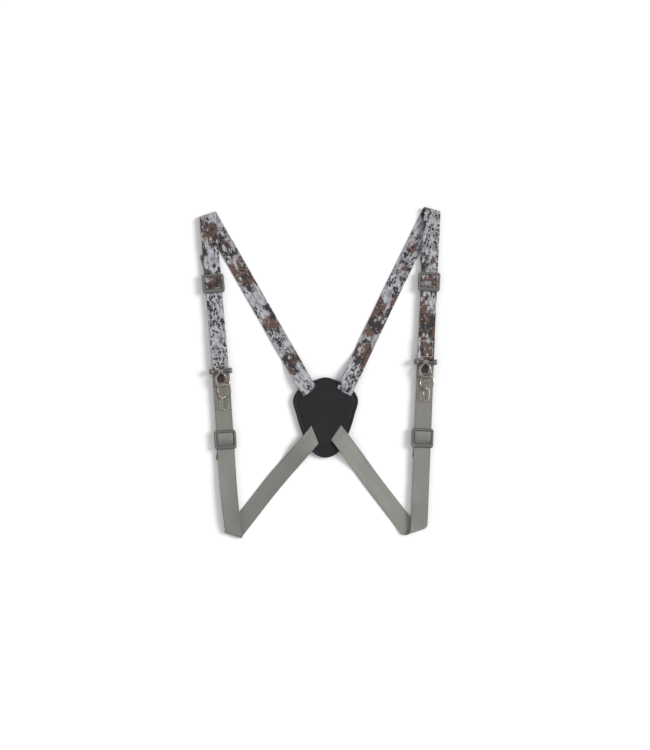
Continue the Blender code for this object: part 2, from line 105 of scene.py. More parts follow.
WRAP_CLOSE = 9 * MM  # past the rod, where the two layers have come together
STRAP_ROD_OFFSET = 2.75 * MM  # of each strap's rod from the middle of the web bar
TAIL_LENGTH = {"shoulder": 42 * MM, "side": 30 * MM}
TAIL_WRAP = 20 * MM
SLIDE_ROD_Y = 1.5 * MM
SLIDE_REACH = 16 * MM  # a strap stays flat this far each way from a slide, wherever it slides to

# How each strap happens to lie, in millimetres: the height of its arch off the yoke, how far its edges are
# cupped up or turned down, its rise before the fold, its sideways bow on the floor, how far to the right its
# lower and upper legs meet the fold, the drift of its tail to the right, and how far along the printed roll
# it was cut
LIE_NAMES = ("arch", "cup", "turn", "rise", "bow", "lower_slip", "upper_slip", "tail_drift", "roll")
LIE = {
    ("left", "shoulder"): (0.8, 0.7, 0.0, 0.5, 0.0, 0.0, 0.0, -4.2, 370),
    ("left", "side"): (1.2, 1.2, 0.0, 0.3, -2.0, -0.4, 3.6, -3.2, 850),
    ("right", "shoulder"): (2.6, 0.0, -0.6, 1.6, 0.9, 0.0, 0.0, -3.6, 1620),
    ("right", "side"): (2.8, 0.1, -0.5, 2.0, -2.0, -10.0, 0.0, -1.2, 2400),
}
FLOOR_CUP = 0.5 * MM  # of the legs that lie on the floor
WAVE_HEIGHT = 0.35 * MM
WAVE_LENGTH = 110 * MM
WAVE_PHASE = 60  # times the slide's place on its strap, so that no two straps wave alike
SHALLOW_WAVE = 0.12 * MM  # of the whole upper leg
RIPPLE_HEIGHT = 1.2 * MM
RIPPLE_LENGTH = 60 * MM
RIPPLE_SEED = 50  # times the slide's place on its strap
ARCH_UP = (2 * MM, 11 * MM)  # past the slot, where the arch starts and where it is full
ARCH_DOWN = (14 * MM, 64 * MM)
FOLD_RISE = 26 * MM  # the length of the rise before the fold
# How far a strap lies flat each way from these places, and the length in which it comes free
FLAT_AT_SLOT = (30 * MM, 30 * MM)
FLAT_BEFORE_FOLD = (0, 25 * MM)
FLAT_AFTER_FOLD = (2 * MM, 18 * MM)
FLAT_AT_ROD = (SEWN_LENGTH, 12 * MM)
SLIDE_FADE = 10 * MM

# How brown the print of each shoulder strap is, and the painted shade (above 0) and painted light (below 0)
# on each side strap, for how its legs face the light and for the shade near its fold, at distances from the
# slot in millimetres: from -1 for pale print and for the most painted light, to 1 for brown print and for the
# most painted shade
SHADES = {
    ("left", "shoulder"): [
        (0, -0.9), (30, -0.3), (60, -0.4), (80, -1), (100, 0.1), (160, 0.3), (180, -0.4), (195, 0.3),
        (270, 0.2), (292, -0.5), (325, 0.1), (335, -0.7), (350, 0.3), (395, 0.2), (405, -1), (600, -1)],
    ("right", "shoulder"): [
        (0, -0.9), (40, -0.1), (60, 0.3), (85, 0.0), (112, 0.8), (158, 0.9), (175, -0.4), (215, -0.5),
        (230, 0.2), (250, 0.2), (265, -1), (372, -1), (395, -0.4), (425, -0.2), (435, 0.9), (600, 0.8)],
    ("left", "side"): [
        (0, -0.2), (25, 0.3), (60, 0.8), (225, 0.8), (245, 0.2), (320, 0.1), (345, 0.4), (600, 0.4)],
    ("right", "side"): [
        (0, -0.7), (130, -0.8), (190, -0.1), (225, 0.5), (240, -0.1), (320, 0.0), (345, 0.3), (600, 0.3)],
}
PLAIN_SHADE = -0.4  # of the tails: a paler print on the shoulder straps' tails, and painted light on the side straps' tails
PRINT_SHIFT = 0.085  # of the patches' noise, for a shade of 1
PAINTED_LIGHT_SHARE = 0.2  # share of the light that painted shade takes from the elastic at a shade of 1, and that painted light adds at -1

# Rows of a strap's mesh
TUCK_STEPS = 22
FLOOR_PITCH = 3.4 * MM
BEND_STEPS = 18
UPPER_PITCH = 2.6 * MM
END_STEPS = 14

# Slides, in their own axes, and the yoke's plates
SLIDE_HALF = Vector((16, 14)) * MM
WINDOW_HALF_X = 11.4 * MM
WINDOW_Y = (-7.5 * MM, 10.5 * MM)
VISIBLE_RAIL = 3.4 * MM  # beside the strap in the window
BEND_Y = (WINDOW_Y[0] + 1.3 * MM, WINDOW_Y[1] - GAP)
BEND_HEIGHT = 1.9 * MM  # of the strap's rise in the window
BEND_LIP = 0.08 * MM  # of its lowest edge
BEND_ROWS = 16
BEND_COLUMNS = 18
CROWN_FROM = 0.8 * MM  # above a slide's middle
CROWN_FADE = 1.2 * MM
CROWN_DROP = 1.0 * MM  # of a bar's edges below its middle
TAIL_DROOP = 2.2 * MM
EDGE_ROUNDING = 0.9 * MM
SLOT_HALF = 1.8 * MM
GROOVE_INSET = 5.2 * MM
GROOVE_WIDTH = 1.5 * MM
GROOVE_DEPTH = 0.35 * MM

# Hardware, in the web bar's own axes
HOOK_LEVEL = 13.3 * MM
RING_WIRE = 0.7 * MM
RING_RADIUS = 10.5 * MM
RING_START = math.radians(35)  # of its wire, round from its right
RING_TILT = math.radians(22)
RING_REACH = 2.5 * MM  # of the ring past the arm that it hangs on
LINK_WIRE = 0.7 * MM
LINK_RADIUS = 4.3 * MM
LINK_STRAIGHT = 10 * MM
LINK_WELD = 2.4 * MM
LINK_TILT = math.radians(-20)
LINK_REACH = 2.0 * MM
GATE_WIRE = 0.8 * MM
HOOK_SPINE = [(-1.5, -3.2), (-5, -5.2), (-7.6, -9), (-8.2, -14), (-7, -18.4), (-4.2, -21), (-1.5, -21.6)]
SPINE_WIDTHS = (1.0 * MM, 2.1 * MM)  # half the width at its ends and its middle
SPINE_HEIGHT = 1.35 * MM
FERRULE = [(9.2, -21.6), (10.6, -21.3), (11.7, -20.3), (12, -19), (12, -17.2), (11.8, -15.2)]
FERRULE_RADIUS = 1.5 * MM
KNOB_PLACE = (13.3 * MM, 0, -0.2 * MM)
KNOB_SIZE = (3.6 * MM, 4.2 * MM, 2.5 * MM)
TAB_SIZE = (10.5 * MM, 13 * MM)
TAB_START = 3.4 * MM
GATE_PATH = [(0, 0, -2.0), (0, 0, 0), (0.05, -0.2, 1.7), (1.2, -3, 2.0), (3.0, -7.4, 0.9), (3.8, -11.6, 0)]

# Voxel size, rounds of smoothing, and share of the faces that is kept, of each moulded skin
SLIDE_SKIN = (0.33 * MM, 7, 0.3)
BAR_SKIN = (0.34 * MM, 4, 0.5)
HOOK_SKIN = (0.26 * MM, 4, 0.5)

# Stitches
STITCH_LENGTH = 2.3 * MM
STITCH_PITCH = 3.1 * MM
THREAD_RADIUS = 0.32 * MM
SEAM_FROM_ROD = 5 * MM
SEAM_INSET = 2.3 * MM
SEAM_GAP = 1.6 * MM  # between the two lines that cross the strap

# Colours as red, green and blue from 0 to 255
CAMO_LIGHT = (176, 178, 184)
CAMO_GREY = (112, 109, 112)
CAMO_BROWN = (88, 63, 54)
CAMO_RUST = (106, 76, 65)
CAMO_BLACK = (38, 35, 38)
CAMO_OLIVE = (74, 66, 56)
ELASTIC = (124, 122, 117)
YOKE_BLACK = (28, 26, 29)
SLIDE_GREY = (98, 96, 93)
HOOK_GREY = (122, 116, 112)
BAR_GREY = (92, 88, 85)
# the tab's dark brown, which also stands in for the shade inside the hook
TAB_BROWN_AND_SHADE = (52, 44, 42)
NICKEL = (205, 192, 176)
BRASS = (176, 146, 118)
# a dark brown painted onto the wire as dark reflections
DARK_REFLECTION = (92, 80, 70)
THREADS = {"shoulder": (176, 172, 168), "side": (112, 112, 106), "yoke": (34, 32, 35)}
FLOOR_GREYS = ((238, 238, 239), (240, 240, 240))

# Painted shade, as the share of the light that it takes
EDGE_PAINTED_SHADE = 0.30  # painted shade on a strap's edges, for their sides and contact shadows
WINDOW_PAINTED_SHADE = 0.42  # painted shade on the strap at the foot of a slide's window, where it tucks under the bar
SLIDE_PAINTED_SHADE = 0.72  # painted shade on a slide, below its rounded top
SLIDE_UNSHADED_DEPTH = 0.8 * MM  # from a slide's top down to where its painted shade starts
PAINTED_SHADE_FADE = 0.6 * MM

# Sizes of the camouflage's features, and (across, along) pitches of the weaves
CAMO_CELL = 1.25 * MM
CAMO_STREAK = 3.5 * MM
CAMO_PATCH = 27 * MM
CAMO_OLIVE_PATCH = 9 * MM
CAMO_DARK_PATCH = 12 * MM
CAMO_SPOT = 4.2 * MM
CAMO_SPOT_CLUSTER = 18 * MM
CAMO_HOLE = 9 * MM
CAMO_HOLE_CLUSTER = 25 * MM
CAMO_WEAVE = (0.95 * MM, 0.8 * MM)
ELASTIC_WEAVE = (1.25 * MM, 0.6 * MM)
TAB_WEAVE = (0.7 * MM, 0.7 * MM)

# Light and camera
SKY_STRENGTH = 0.72
SUN_STRENGTH = 2.6
SUN_ELEVATION = math.radians(38)
SUN_AZIMUTH = math.radians(14)  # from +X towards +Y
SUN_SOFTNESS = math.radians(26)
FLOOR_SIZE = 80
FLOOR_CLOUD = 1 / 3
CAMERA_LENS = 85  # on a frame 36 mm high
CAMERA_HEIGHT = 2.603
CAMERA_AIM = (7.35 * MM, -3.8 * MM)


# Small tools

def linear(colour):
    """A colour with channels from 0 to 255 as the shader's linear values."""
    shares = [channel / 255 for channel in colour]
    return tuple(s / 12.92 if s <= 0.04045 else ((s + 0.055) / 1.055) ** 2.4 for s in shares) + (1.0,)


def lighter(colour, factor):
    return tuple(min(255, channel * factor) for channel in colour)


def ease(share):
    """0 to 1 with level ends."""
    share = min(max(share, 0.0), 1.0)
    return share * share * (3 - 2 * share)


def along_knots(knots, value):
    """A value read off straight lines between (place, value) knots."""
    for (start, first), (end, last) in zip(knots, knots[1:]):
        if value <= end:
            return first + (last - first) * max(0, value - start) / (end - start)
    return knots[-1][1]


def near(value, middle, reach, fade):
    """1 within reach of a middle value, falling to 0 over fade."""
    return 1 - ease((abs(value - middle) - reach) / fade)


def risen(value, low, high):
    """0 up to low and 1 from high on, with a smooth rise between."""
    return ease((value - low) / (high - low))


def spread(start, end, count):
    """Values from start to end, with count even steps between them."""
    return [start + (end - start) * step / count for step in range(count + 1)]


def mean(points):
    return sum(points, points[0] * 0) / len(points)


def joint(name):
    return next(found for found in frame["joints"] if found["name"] == name)


def corners_of(node):
    """A CAD node's corners, each once."""
    found = {tuple(round(value, 6) for value in corner.co) for corner in frame["nodes"][node].data.vertices}
    return [Vector(corner) for corner in sorted(found)]


def place_mesh(name, mesh, body, material, matrix=None, smooth_angle=40):
    """A piece in its place, riding on its body."""
    mesh.transform(matrix or Matrix())
    mesh.materials.clear()
    mesh.materials.append(material)
    mesh.shade_smooth()
    mesh.set_sharp_from_angle(angle=math.radians(smooth_angle))
    piece = bpy.data.objects.new(name, mesh)
    bpy.context.scene.collection.objects.link(piece)
    if body:
        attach(piece, body)
    return piece


def finished(bm):
    """A bmesh's mesh, with its faces turned outwards."""
    bmesh.ops.recalc_face_normals(bm, faces=bm.faces)
    mesh = bpy.data.meshes.new("shape")
    bm.to_mesh(mesh)
    bm.free()
    return mesh


def loft(rings, uvs=None, closed=False):
    """A closed mesh through rings of points, with caps at its ends unless it closes on itself."""
    bm = bmesh.new()
    grid = [[bm.verts.new(point) for point in ring] for ring in rings]
    layer = bm.loops.layers.uv.new("flat")
    count = len(rings[0])
    for i in range(len(rings) if closed else len(rings) - 1):
        j = (i + 1) % len(rings)
        for k in range(count):
            m = (k + 1) % count
            face = bm.faces.new((grid[i][k], grid[i][m], grid[j][m], grid[j][k]))
            if uvs:
                for loop, (row, column) in zip(face.loops, ((i, k), (i, m), (j, m), (j, k))):
                    loop[layer].uv = uvs[row][column]
    if not closed:
        for end in (0, -1):
            cap_with_quads(bm, grid[end], layer, uvs[end] if uvs else None)
    return finished(bm)


def cap_with_quads(bm, ring, layer, uvs):
    """Closes a ring whose second half runs back over its first, with a strip of faces between the two."""
    count = len(ring)
    for k in range(count // 2):
        corners = []
        for index in (k, k + 1, (count - k - 1) % count, (count - k) % count):
            if index not in corners:
                corners.append(index)
        if len(corners) > 2:
            face = bm.faces.new([ring[index] for index in corners])
            if uvs:
                for loop, index in zip(face.loops, corners):
                    loop[layer].uv = uvs[index]


def tube(path, flat_radius, up_radius, up, closed=False, sides=14):
    """A wire along a path. Its section is an oval, with flat_radius, one or a list, across it."""
    rings = []
    count = len(path)
    angles = [2 * math.pi * side / sides for side in range(sides)]
    flat_radii = flat_radius if isinstance(flat_radius, list) else [flat_radius] * count
    for index, point in enumerate(path):
        after = path[(index + 1) % count] if closed else path[min(index + 1, count - 1)]
        before = path[index - 1] if closed else path[max(index - 1, 0)]
        tangent = (after - before).normalized()
        across = tangent.cross(up).normalized()
        rise = across.cross(tangent)
        rings.append([point + across * math.cos(a) * flat_radii[index] + rise * math.sin(a) * up_radius
                      for a in angles])
    return loft(rings, closed=closed)


def stacked(rings):
    """A closed mesh through rings of points, with one flat face at each end."""
    bm = bmesh.new()
    grid = [[bm.verts.new(point) for point in ring] for ring in rings]
    count = len(rings[0])
    for ring, after in zip(grid, grid[1:]):
        for k in range(count):
            m = (k + 1) % count
            bm.faces.new((ring[k], ring[m], after[m], after[k]))
    bm.faces.new(list(reversed(grid[0])))
    bm.faces.new(grid[-1])
    return finished(bm)


def smooth_path(knots, steps):
    """Points along a smooth curve through the knots."""
    knots = [2 * knots[0] - knots[1]] + knots + [2 * knots[-1] - knots[-2]]
    path = []
    for a, b, c, d in zip(knots, knots[1:], knots[2:], knots[3:]):
        for u in spread(0, 1, steps)[:-1]:
            path.append(0.5 * (2 * b + (c - a) * u + (2 * a - 5 * b + 4 * c - d) * u * u
                               + (3 * b - a - 3 * c + d) * u ** 3))
    return path + [knots[-2]]


def merged(meshes):
    """One mesh that holds all of these."""
    bm = bmesh.new()
    for mesh in meshes:
        bm.from_mesh(mesh)
    joined = bpy.data.meshes.new("merged")
    bm.to_mesh(joined)
    bm.free()
    return joined


def applied(mesh, *modifiers):
    """A mesh after (kind, settings) modifiers."""
    carrier = bpy.data.objects.new("carrier", mesh)
    bpy.context.scene.collection.objects.link(carrier)
    for kind, settings in modifiers:
        modifier = carrier.modifiers.new(kind, kind)
        for setting, value in settings.items():
            setattr(modifier, setting, value)
    bpy.context.view_layer.update()
    evaluated = carrier.evaluated_get(bpy.context.evaluated_depsgraph_get())
    result = bpy.data.meshes.new_from_object(evaluated)
    bpy.data.objects.remove(carrier)
    return result


# Materials

MIX_FIRST, MIX_SECOND, MIX_RESULT = 6, 7, 2  # a Mix node's sockets for colours


class Shader:
    """A material's nodes, with one short call for each kind."""

    def __init__(self, name):
        self.material = bpy.data.materials.new(name)
        self.material.use_nodes = True
        self.tree = self.material.node_tree
        self.surface = self.tree.nodes["Principled BSDF"]

    def add(self, kind, inputs=(), **settings):
        """A node with its settings, its inputs linked to sockets or set to values."""
        node = self.tree.nodes.new("ShaderNode" + kind)
        for setting, value in settings.items():
            setattr(node, setting, value)
        for key, value in dict(inputs).items():
            if isinstance(value, bpy.types.NodeSocket):
                self.tree.links.new(value, node.inputs[key])
            else:
                node.inputs[key].default_value = value
        return node

    def math(self, operation, a, b=0.0, c=0.0):
        return self.add("Math", {0: a, 1: b, 2: c}, operation=operation).outputs[0]

    def times(self, a, b):
        return self.math("MULTIPLY", a, b)

    def plus(self, a, b):
        return self.math("ADD", a, b)

    def line(self, value, slope, start):
        return self.math("MULTIPLY_ADD", value, slope, start)

    def scaled(self, vector, scale):
        return self.add("VectorMath", {0: vector, 1: scale}, operation="MULTIPLY").outputs[0]

    def attribute(self, name):
        return self.add("Attribute", attribute_name=name).outputs["Fac"]

    def object_place(self):
        return self.add("TexCoord").outputs["Object"]

    def edges_worn(self, low, high):
        """1 where an edge stands out so far that wear reaches it. On moulded plastic this also places painted
        highlights.
        """
        return self.steps(self.add("NewGeometry").outputs["Pointiness"], low, high)

    def noise(self, place, size, detail=2.0, roughness=0.5):
        inputs = {"Vector": place, "Scale": 1 / size, "Detail": detail, "Roughness": roughness}
        return self.add("TexNoise", inputs).outputs["Fac"]

    def cells(self, place, size, randomness=1.0, **settings):
        """A Voronoi texture's outputs."""
        inputs = {"Vector": place, "Scale": 1 / size, "Randomness": randomness}
        return self.add("TexVoronoi", inputs, **settings).outputs

    def steps(self, value, low, high):
        """0 below low and 1 above high, with a smooth rise between."""
        inputs = {"Value": value, "From Min": low, "From Max": high}
        return self.add("MapRange", inputs, interpolation_type="SMOOTHSTEP").outputs["Result"]

    def mix(self, share, first, second):
        node = self.add("Mix", {"Factor": share}, data_type="RGBA")
        for socket, value in ((node.inputs[MIX_FIRST], first), (node.inputs[MIX_SECOND], second)):
            if isinstance(value, bpy.types.NodeSocket):
                self.tree.links.new(value, socket)
            else:
                socket.default_value = linear(value)
        return node.outputs[MIX_RESULT]

    def shaded(self, colour, share):
        """A colour made darker by the share of light that is left."""
        node = self.add("Mix", {"Factor": 1.0}, data_type="RGBA", blend_type="MULTIPLY")
        self.tree.links.new(colour, node.inputs[MIX_FIRST])
        grey = self.add("CombineColor", {"Red": share, "Green": share, "Blue": share}).outputs[0]
        self.tree.links.new(grey, node.inputs[MIX_SECOND])
        return node.outputs[MIX_RESULT]

    def finish(self, colour, roughness, height=None, depth=0.1 * MM, **constants):
        """Links the colour, the roughness and the bump, and sets the shader's constant values."""
        self.tree.links.new(colour, self.surface.inputs["Base Color"])
        self.tree.links.new(roughness, self.surface.inputs["Roughness"])
        if height is not None:
            bump = self.add("Bump", {"Height": height, "Strength": 1.0, "Distance": depth})
            self.tree.links.new(bump.outputs["Normal"], self.surface.inputs["Normal"])
        for name, value in constants.items():
            self.surface.inputs[name.replace("_", " ").title().replace("Ior", "IOR")].default_value = value
        return self.material


def webbing_weave(shader, across, along, pitches):
    """The height of a woven surface, from 0 to 1: ribs along the strap, broken by the weft."""
    warp, weft = pitches
    ribs = shader.math("ABSOLUTE", shader.math("SINE", shader.times(across, math.pi / warp)))
    phase = shader.math("FLOOR", shader.times(across, 1 / warp))
    shifted = shader.plus(shader.times(along, 1 / weft), shader.times(phase, 0.5))
    picks = shader.math("ABSOLUTE", shader.math("SINE", shader.times(shifted, math.pi)))
    return shader.times(shader.math("POWER", ribs, 0.6), shader.line(picks, 0.6, 0.4))


def flat_place(shader):
    """The place on the flat webbing in metres: as a vector, across it and along it."""
    flat = shader.add("UVMap", uv_map="flat").outputs["UV"]
    parts = shader.add("SeparateXYZ", {0: flat}).outputs
    return flat, parts[0], parts[1]


def clean_share(shader, across, half):
    """The share of the light left by the painted shade on the strap's edges and by the painted shade that a
    per-vertex attribute carries.
    """
    edge = shader.steps(shader.math("ABSOLUTE", across), half - 0.9 * MM, half - 0.1 * MM)
    grime = shader.attribute("grime")
    painted_darkening = shader.line(edge, EDGE_PAINTED_SHADE, shader.times(grime, WINDOW_PAINTED_SHADE))
    return shader.math("SUBTRACT", 1.0, painted_darkening)


def camo_webbing():
    """Printed webbing: a streaky pale ground with brown and near-black patches, broken up in small cells."""
    shader = Shader("camo_webbing")
    flat, across, along = flat_place(shader)
    shade = shader.attribute("print_shade")
    cells = shader.cells(shader.scaled(flat, (1, 0.8, 1)), CAMO_CELL, 0.7, voronoi_dimensions="2D",
                         distance="MANHATTAN")
    cell_place = cells["Position"]
    long_place = shader.scaled(cell_place, (1, 0.75, 1))
    moved = shader.add("VectorMath", {0: long_place, 1: (0.35, 0.71, 0)}, operation="ADD").outputs[0]
    chance = shader.add("SeparateColor", {0: cells["Color"]}).outputs

    streaks = shader.noise(shader.scaled(flat, (1, 0.3, 1)), CAMO_STREAK, 4, 0.65)
    colour = shader.mix(shader.steps(streaks, 0.38, 0.62), CAMO_LIGHT, CAMO_GREY)

    patches = shader.line(shade, PRINT_SHIFT, shader.noise(long_place, CAMO_PATCH, 2.5, 0.5))
    olive = shader.steps(shader.noise(cell_place, CAMO_OLIVE_PATCH, 1), 0.55, 0.62)
    brown = shader.mix(olive, CAMO_BROWN, CAMO_OLIVE)
    brown = shader.mix(shader.steps(chance[1], 0.60, 0.95), brown, CAMO_RUST)
    colour = shader.mix(shader.steps(patches, 0.50, 0.53), colour, brown)

    dark = shader.plus(shader.noise(moved, CAMO_DARK_PATCH, 3, 0.6), shader.times(patches, 0.4))
    colour = shader.mix(shader.steps(dark, 0.752, 0.782), colour, CAMO_BLACK)
    clusters = shader.line(shade, -0.06, shader.noise(moved, CAMO_SPOT_CLUSTER, 1))
    clusters = shader.steps(clusters, 0.47, 0.60)
    blots = shader.cells(long_place, CAMO_SPOT, voronoi_dimensions="2D")["Distance"]
    spots = shader.math("LESS_THAN", blots, shader.times(clusters, 0.36))
    colour = shader.mix(spots, colour, CAMO_BLACK)

    holes = shader.cells(moved, CAMO_HOLE, voronoi_dimensions="2D")["Distance"]
    rare = shader.steps(shader.noise(flat, CAMO_HOLE_CLUSTER, 1), 0.5, 0.6)
    holes = shader.times(shader.steps(holes, 0.26, 0.16), rare)
    colour = shader.mix(shader.times(holes, 0.8), colour, CAMO_LIGHT)
    sparks = shader.math("GREATER_THAN", chance[2], 0.96)
    colour = shader.mix(shader.times(sparks, 0.75), colour, CAMO_LIGHT)

    weave = webbing_weave(shader, across, along, CAMO_WEAVE)
    # painted shade in the weave's hollows
    colour = shader.shaded(colour, shader.line(weave, 0.22, 0.80))
    # painted shade on the strap's edges, and at the foot of a slide's window
    colour = shader.shaded(colour, clean_share(shader, across, STRAP_WIDTH["shoulder"] / 2))
    roughness = shader.line(weave, -0.12, 0.88)
    return shader.finish(colour, roughness, weave, 0.16 * MM, sheen_weight=0.15, sheen_roughness=0.5)


def grey_elastic():
    """Elastic webbing: fine ribs along the strap and a knitted cross rhythm, with a denser selvedge, painted
    shade in the weave's hollows and on the edges, and painted shade and painted light along the strap.
    """
    shader = Shader("grey_elastic")
    flat, across, along = flat_place(shader)
    weave = webbing_weave(shader, across, along, ELASTIC_WEAVE)
    wide = shader.noise(shader.scaled(flat, (1, 0.25, 1)), 9 * MM, 3)
    lines = shader.noise(shader.scaled(flat, (1, 0.02, 1)), 1.6 * MM, 2)
    half = STRAP_WIDTH["side"] / 2
    selvedge = shader.steps(shader.math("ABSOLUTE", across), half - 2.2 * MM, half - 1.2 * MM)
    light = shader.line(wide, 0.16, 0.87)
    light = shader.plus(light, shader.line(lines, 0.34, -0.17))
    light = shader.plus(light, shader.times(selvedge, -0.07))
    ground = shader.mix(wide, ELASTIC, lighter(ELASTIC, 1.05))
    # painted shade in the weave's hollows
    shade = shader.times(light, shader.line(weave, 0.20, 0.84))
    # painted shade on the strap's edges, and at the foot of a slide's window
    shade = shader.times(shade, clean_share(shader, across, half))
    # painted shade and painted light along the strap, for how each leg faces the light and for the shade near
    # its fold
    painted_light = shader.attribute("print_shade")
    shade = shader.times(shade, shader.line(painted_light, -PAINTED_LIGHT_SHARE, 1.0))
    roughness = shader.line(weave, -0.1, 0.84)
    return shader.finish(shader.shaded(ground, shade), roughness, weave, 0.12 * MM,
                         sheen_weight=0.2, sheen_roughness=0.5)


def yoke_rubber():
    """Matt rubber: a fine leather-like grain, rubbed a little lighter on its edges."""
    shader = Shader("yoke_rubber")
    place = shader.object_place()
    grain = shader.cells(place, 0.75 * MM, feature="SMOOTH_F1")["Distance"]
    cloud = shader.noise(place, 14 * MM, 4, 0.6)
    worn = shader.edges_worn(0.52, 0.62)
    colour = shader.mix(shader.times(worn, 0.6), YOKE_BLACK, lighter(YOKE_BLACK, 1.45))
    colour = shader.shaded(colour, shader.line(cloud, 0.22, 0.86))
    roughness = shader.line(cloud, 0.16, 0.55)
    return shader.finish(colour, roughness, grain, 0.05 * MM, specular_ior_level=0.22)


def moulded_plastic(name, base, roughness_low, shade_top=0.0):
    """Satin moulded plastic: a fine texture, scuffs, lighter worn edges that also serve as painted
    highlights, and painted shade from a given level down.
    """
    shader = Shader(name)
    place = shader.object_place()
    texture = shader.noise(place, 0.35 * MM, 3, 0.6)
    scuffs = shader.noise(shader.scaled(place, (1, 0.2, 1)), 1.2 * MM, 4, 0.7)
    # lighter worn edges, which also serve as painted highlights on the rounded tops of the slides' bars
    worn = shader.edges_worn(0.52, 0.60)
    colour = shader.mix(shader.times(worn, 0.5), base, lighter(base, 1.3))
    colour = shader.shaded(colour, shader.line(scuffs, 0.18, 0.90))
    # painted shade from the given level down: on a slide, everything below its rounded top
    level = shader.add("SeparateXYZ", {0: place}).outputs[2]
    clean = shader.steps(level, shade_top, shade_top + PAINTED_SHADE_FADE)
    colour = shader.shaded(colour, shader.line(clean, SLIDE_PAINTED_SHADE, 1 - SLIDE_PAINTED_SHADE))
    roughness = shader.line(scuffs, 0.22, roughness_low)
    return shader.finish(colour, roughness, texture, 0.03 * MM)


def nickel_wire():
    """Nickel plate over brass: polished, with fine scratches, patches of painted dark reflection, and warm
    spots where it is thin.
    """
    shader = Shader("nickel_wire")
    place = shader.object_place()
    scratches = shader.noise(shader.scaled(place, (1, 1, 0.15)), 0.25 * MM, 4, 0.7)
    thin = shader.steps(shader.noise(place, 5 * MM, 2), 0.5, 0.7)
    colour = shader.mix(shader.times(thin, 0.5), NICKEL, BRASS)
    # patches of painted dark reflection, for the dark surroundings that the polished wire would mirror
    painted_reflection = shader.steps(shader.noise(place, 13 * MM, 1), 0.40, 0.58)
    colour = shader.mix(shader.times(painted_reflection, 0.85), colour, DARK_REFLECTION)
    roughness = shader.line(scratches, 0.15, 0.2)
    return shader.finish(colour, roughness, scratches, 0.003 * MM, metallic=1.0)


def tab_cloth():
    """Dark brown twill tape: close slanting ribs with painted shade in their hollows, and a little fading.
    Its darkness also stands in for the shade inside the hook.
    """
    shader = Shader("tab_cloth")
    flat, across, along = flat_place(shader)
    slant = shader.plus(across, shader.times(along, 0.6))
    weave = webbing_weave(shader, slant, along, TAB_WEAVE)
    faded = shader.noise(flat, 5 * MM, 3)
    colour = shader.mix(faded, TAB_BROWN_AND_SHADE, lighter(TAB_BROWN_AND_SHADE, 1.3))
    # painted shade in the weave's hollows
    colour = shader.shaded(colour, shader.line(weave, 0.3, 0.75))
    return shader.finish(colour, shader.line(weave, -0.1, 0.9), weave, 0.12 * MM)


def thread(name, base):
    """Bonded thread: a fine twist in height, with painted light on its ridges and painted shade in its
    grooves.
    """
    shader = Shader(name)
    place = shader.object_place()
    twist = shader.noise(place, 0.3 * MM, 2)
    # painted light on the twist's ridges and painted shade in its grooves
    colour = shader.shaded(shader.mix(twist, base, lighter(base, 1.15)), shader.line(twist, 0.3, 0.8))
    return shader.finish(colour, shader.line(twist, 0.2, 0.6), twist, 0.05 * MM)


def make_materials():
    materials = {
        "shoulder": camo_webbing(),
        "side": grey_elastic(),
        "yoke": yoke_rubber(),
        "metal": nickel_wire(),
        "slide": moulded_plastic("slide_plastic", SLIDE_GREY, 0.34, SLIDE_TOP - SLIDE_UNSHADED_DEPTH),
        "hook": moulded_plastic("hook_plastic", HOOK_GREY, 0.28),
        "bar": moulded_plastic("bar_plastic", BAR_GREY, 0.3),
        "tab": tab_cloth(),
    }
    for name, colour in THREADS.items():
        materials[f"{name}_thread"] = thread(f"{name}_thread", colour)
    return materials


# Straps

def wrapped_end(distance):
    """Where a strap is that goes on past a rod: (how far along, how far down) for a distance past its top."""
    if distance <= WRAP_ARC:
        angle = distance / WRAP_RADIUS
        return WRAP_RADIUS * math.sin(angle), WRAP_RADIUS * (1 - math.cos(angle))
    back = distance - WRAP_ARC
    rise = (2 * WRAP_RADIUS - LAYER_PITCH) * ease(back / WRAP_CLOSE)
    return -back, 2 * WRAP_RADIUS - rise


def tucked_end(distance):
    """Where a strap is that turns down into its slot: (how far into the yoke, how far down)."""
    turn = TUCK_RADIUS * math.pi / 2
    drop = YOKE_STRAP_LEVEL - POCKET_LEVEL - 2 * TUCK_RADIUS
    if distance < turn:
        angle = distance / TUCK_RADIUS
        return TUCK_RADIUS * math.sin(angle), TUCK_RADIUS * (1 - math.cos(angle))
    if distance < turn + drop:
        return TUCK_RADIUS, TUCK_RADIUS + distance - turn
    angle = min((distance - turn - drop) / TUCK_RADIUS, math.pi / 2)
    level = TUCK_RADIUS + drop + TUCK_RADIUS * math.sin(angle)
    past = max(0, distance - 2 * turn - drop)
    return TUCK_RADIUS * (2 - math.cos(angle)) + past, level


def band_columns(width):
    """(t, share of the half thickness) across a strap: rounded edges and a slightly raised selvedge."""
    half, edge = width / 2, 0.65 * MM
    rounded = [(half - edge + edge * math.sin(angle), math.cos(angle))
               for angle in (math.radians(degrees) for degrees in (90, 66, 42, 20, 0))]
    selvedge = [(half - 1.3 * MM, 1.06), (half - 2.2 * MM, 1.0), (half - 2.9 * MM, 0.93)]
    inner = [(half * share, 0.95) for share in (0.6, 0.4, 0.2)]
    right = rounded + selvedge + inner
    return [(-t, share) for t, share in right] + [(0, 0.95)] + list(reversed(right))


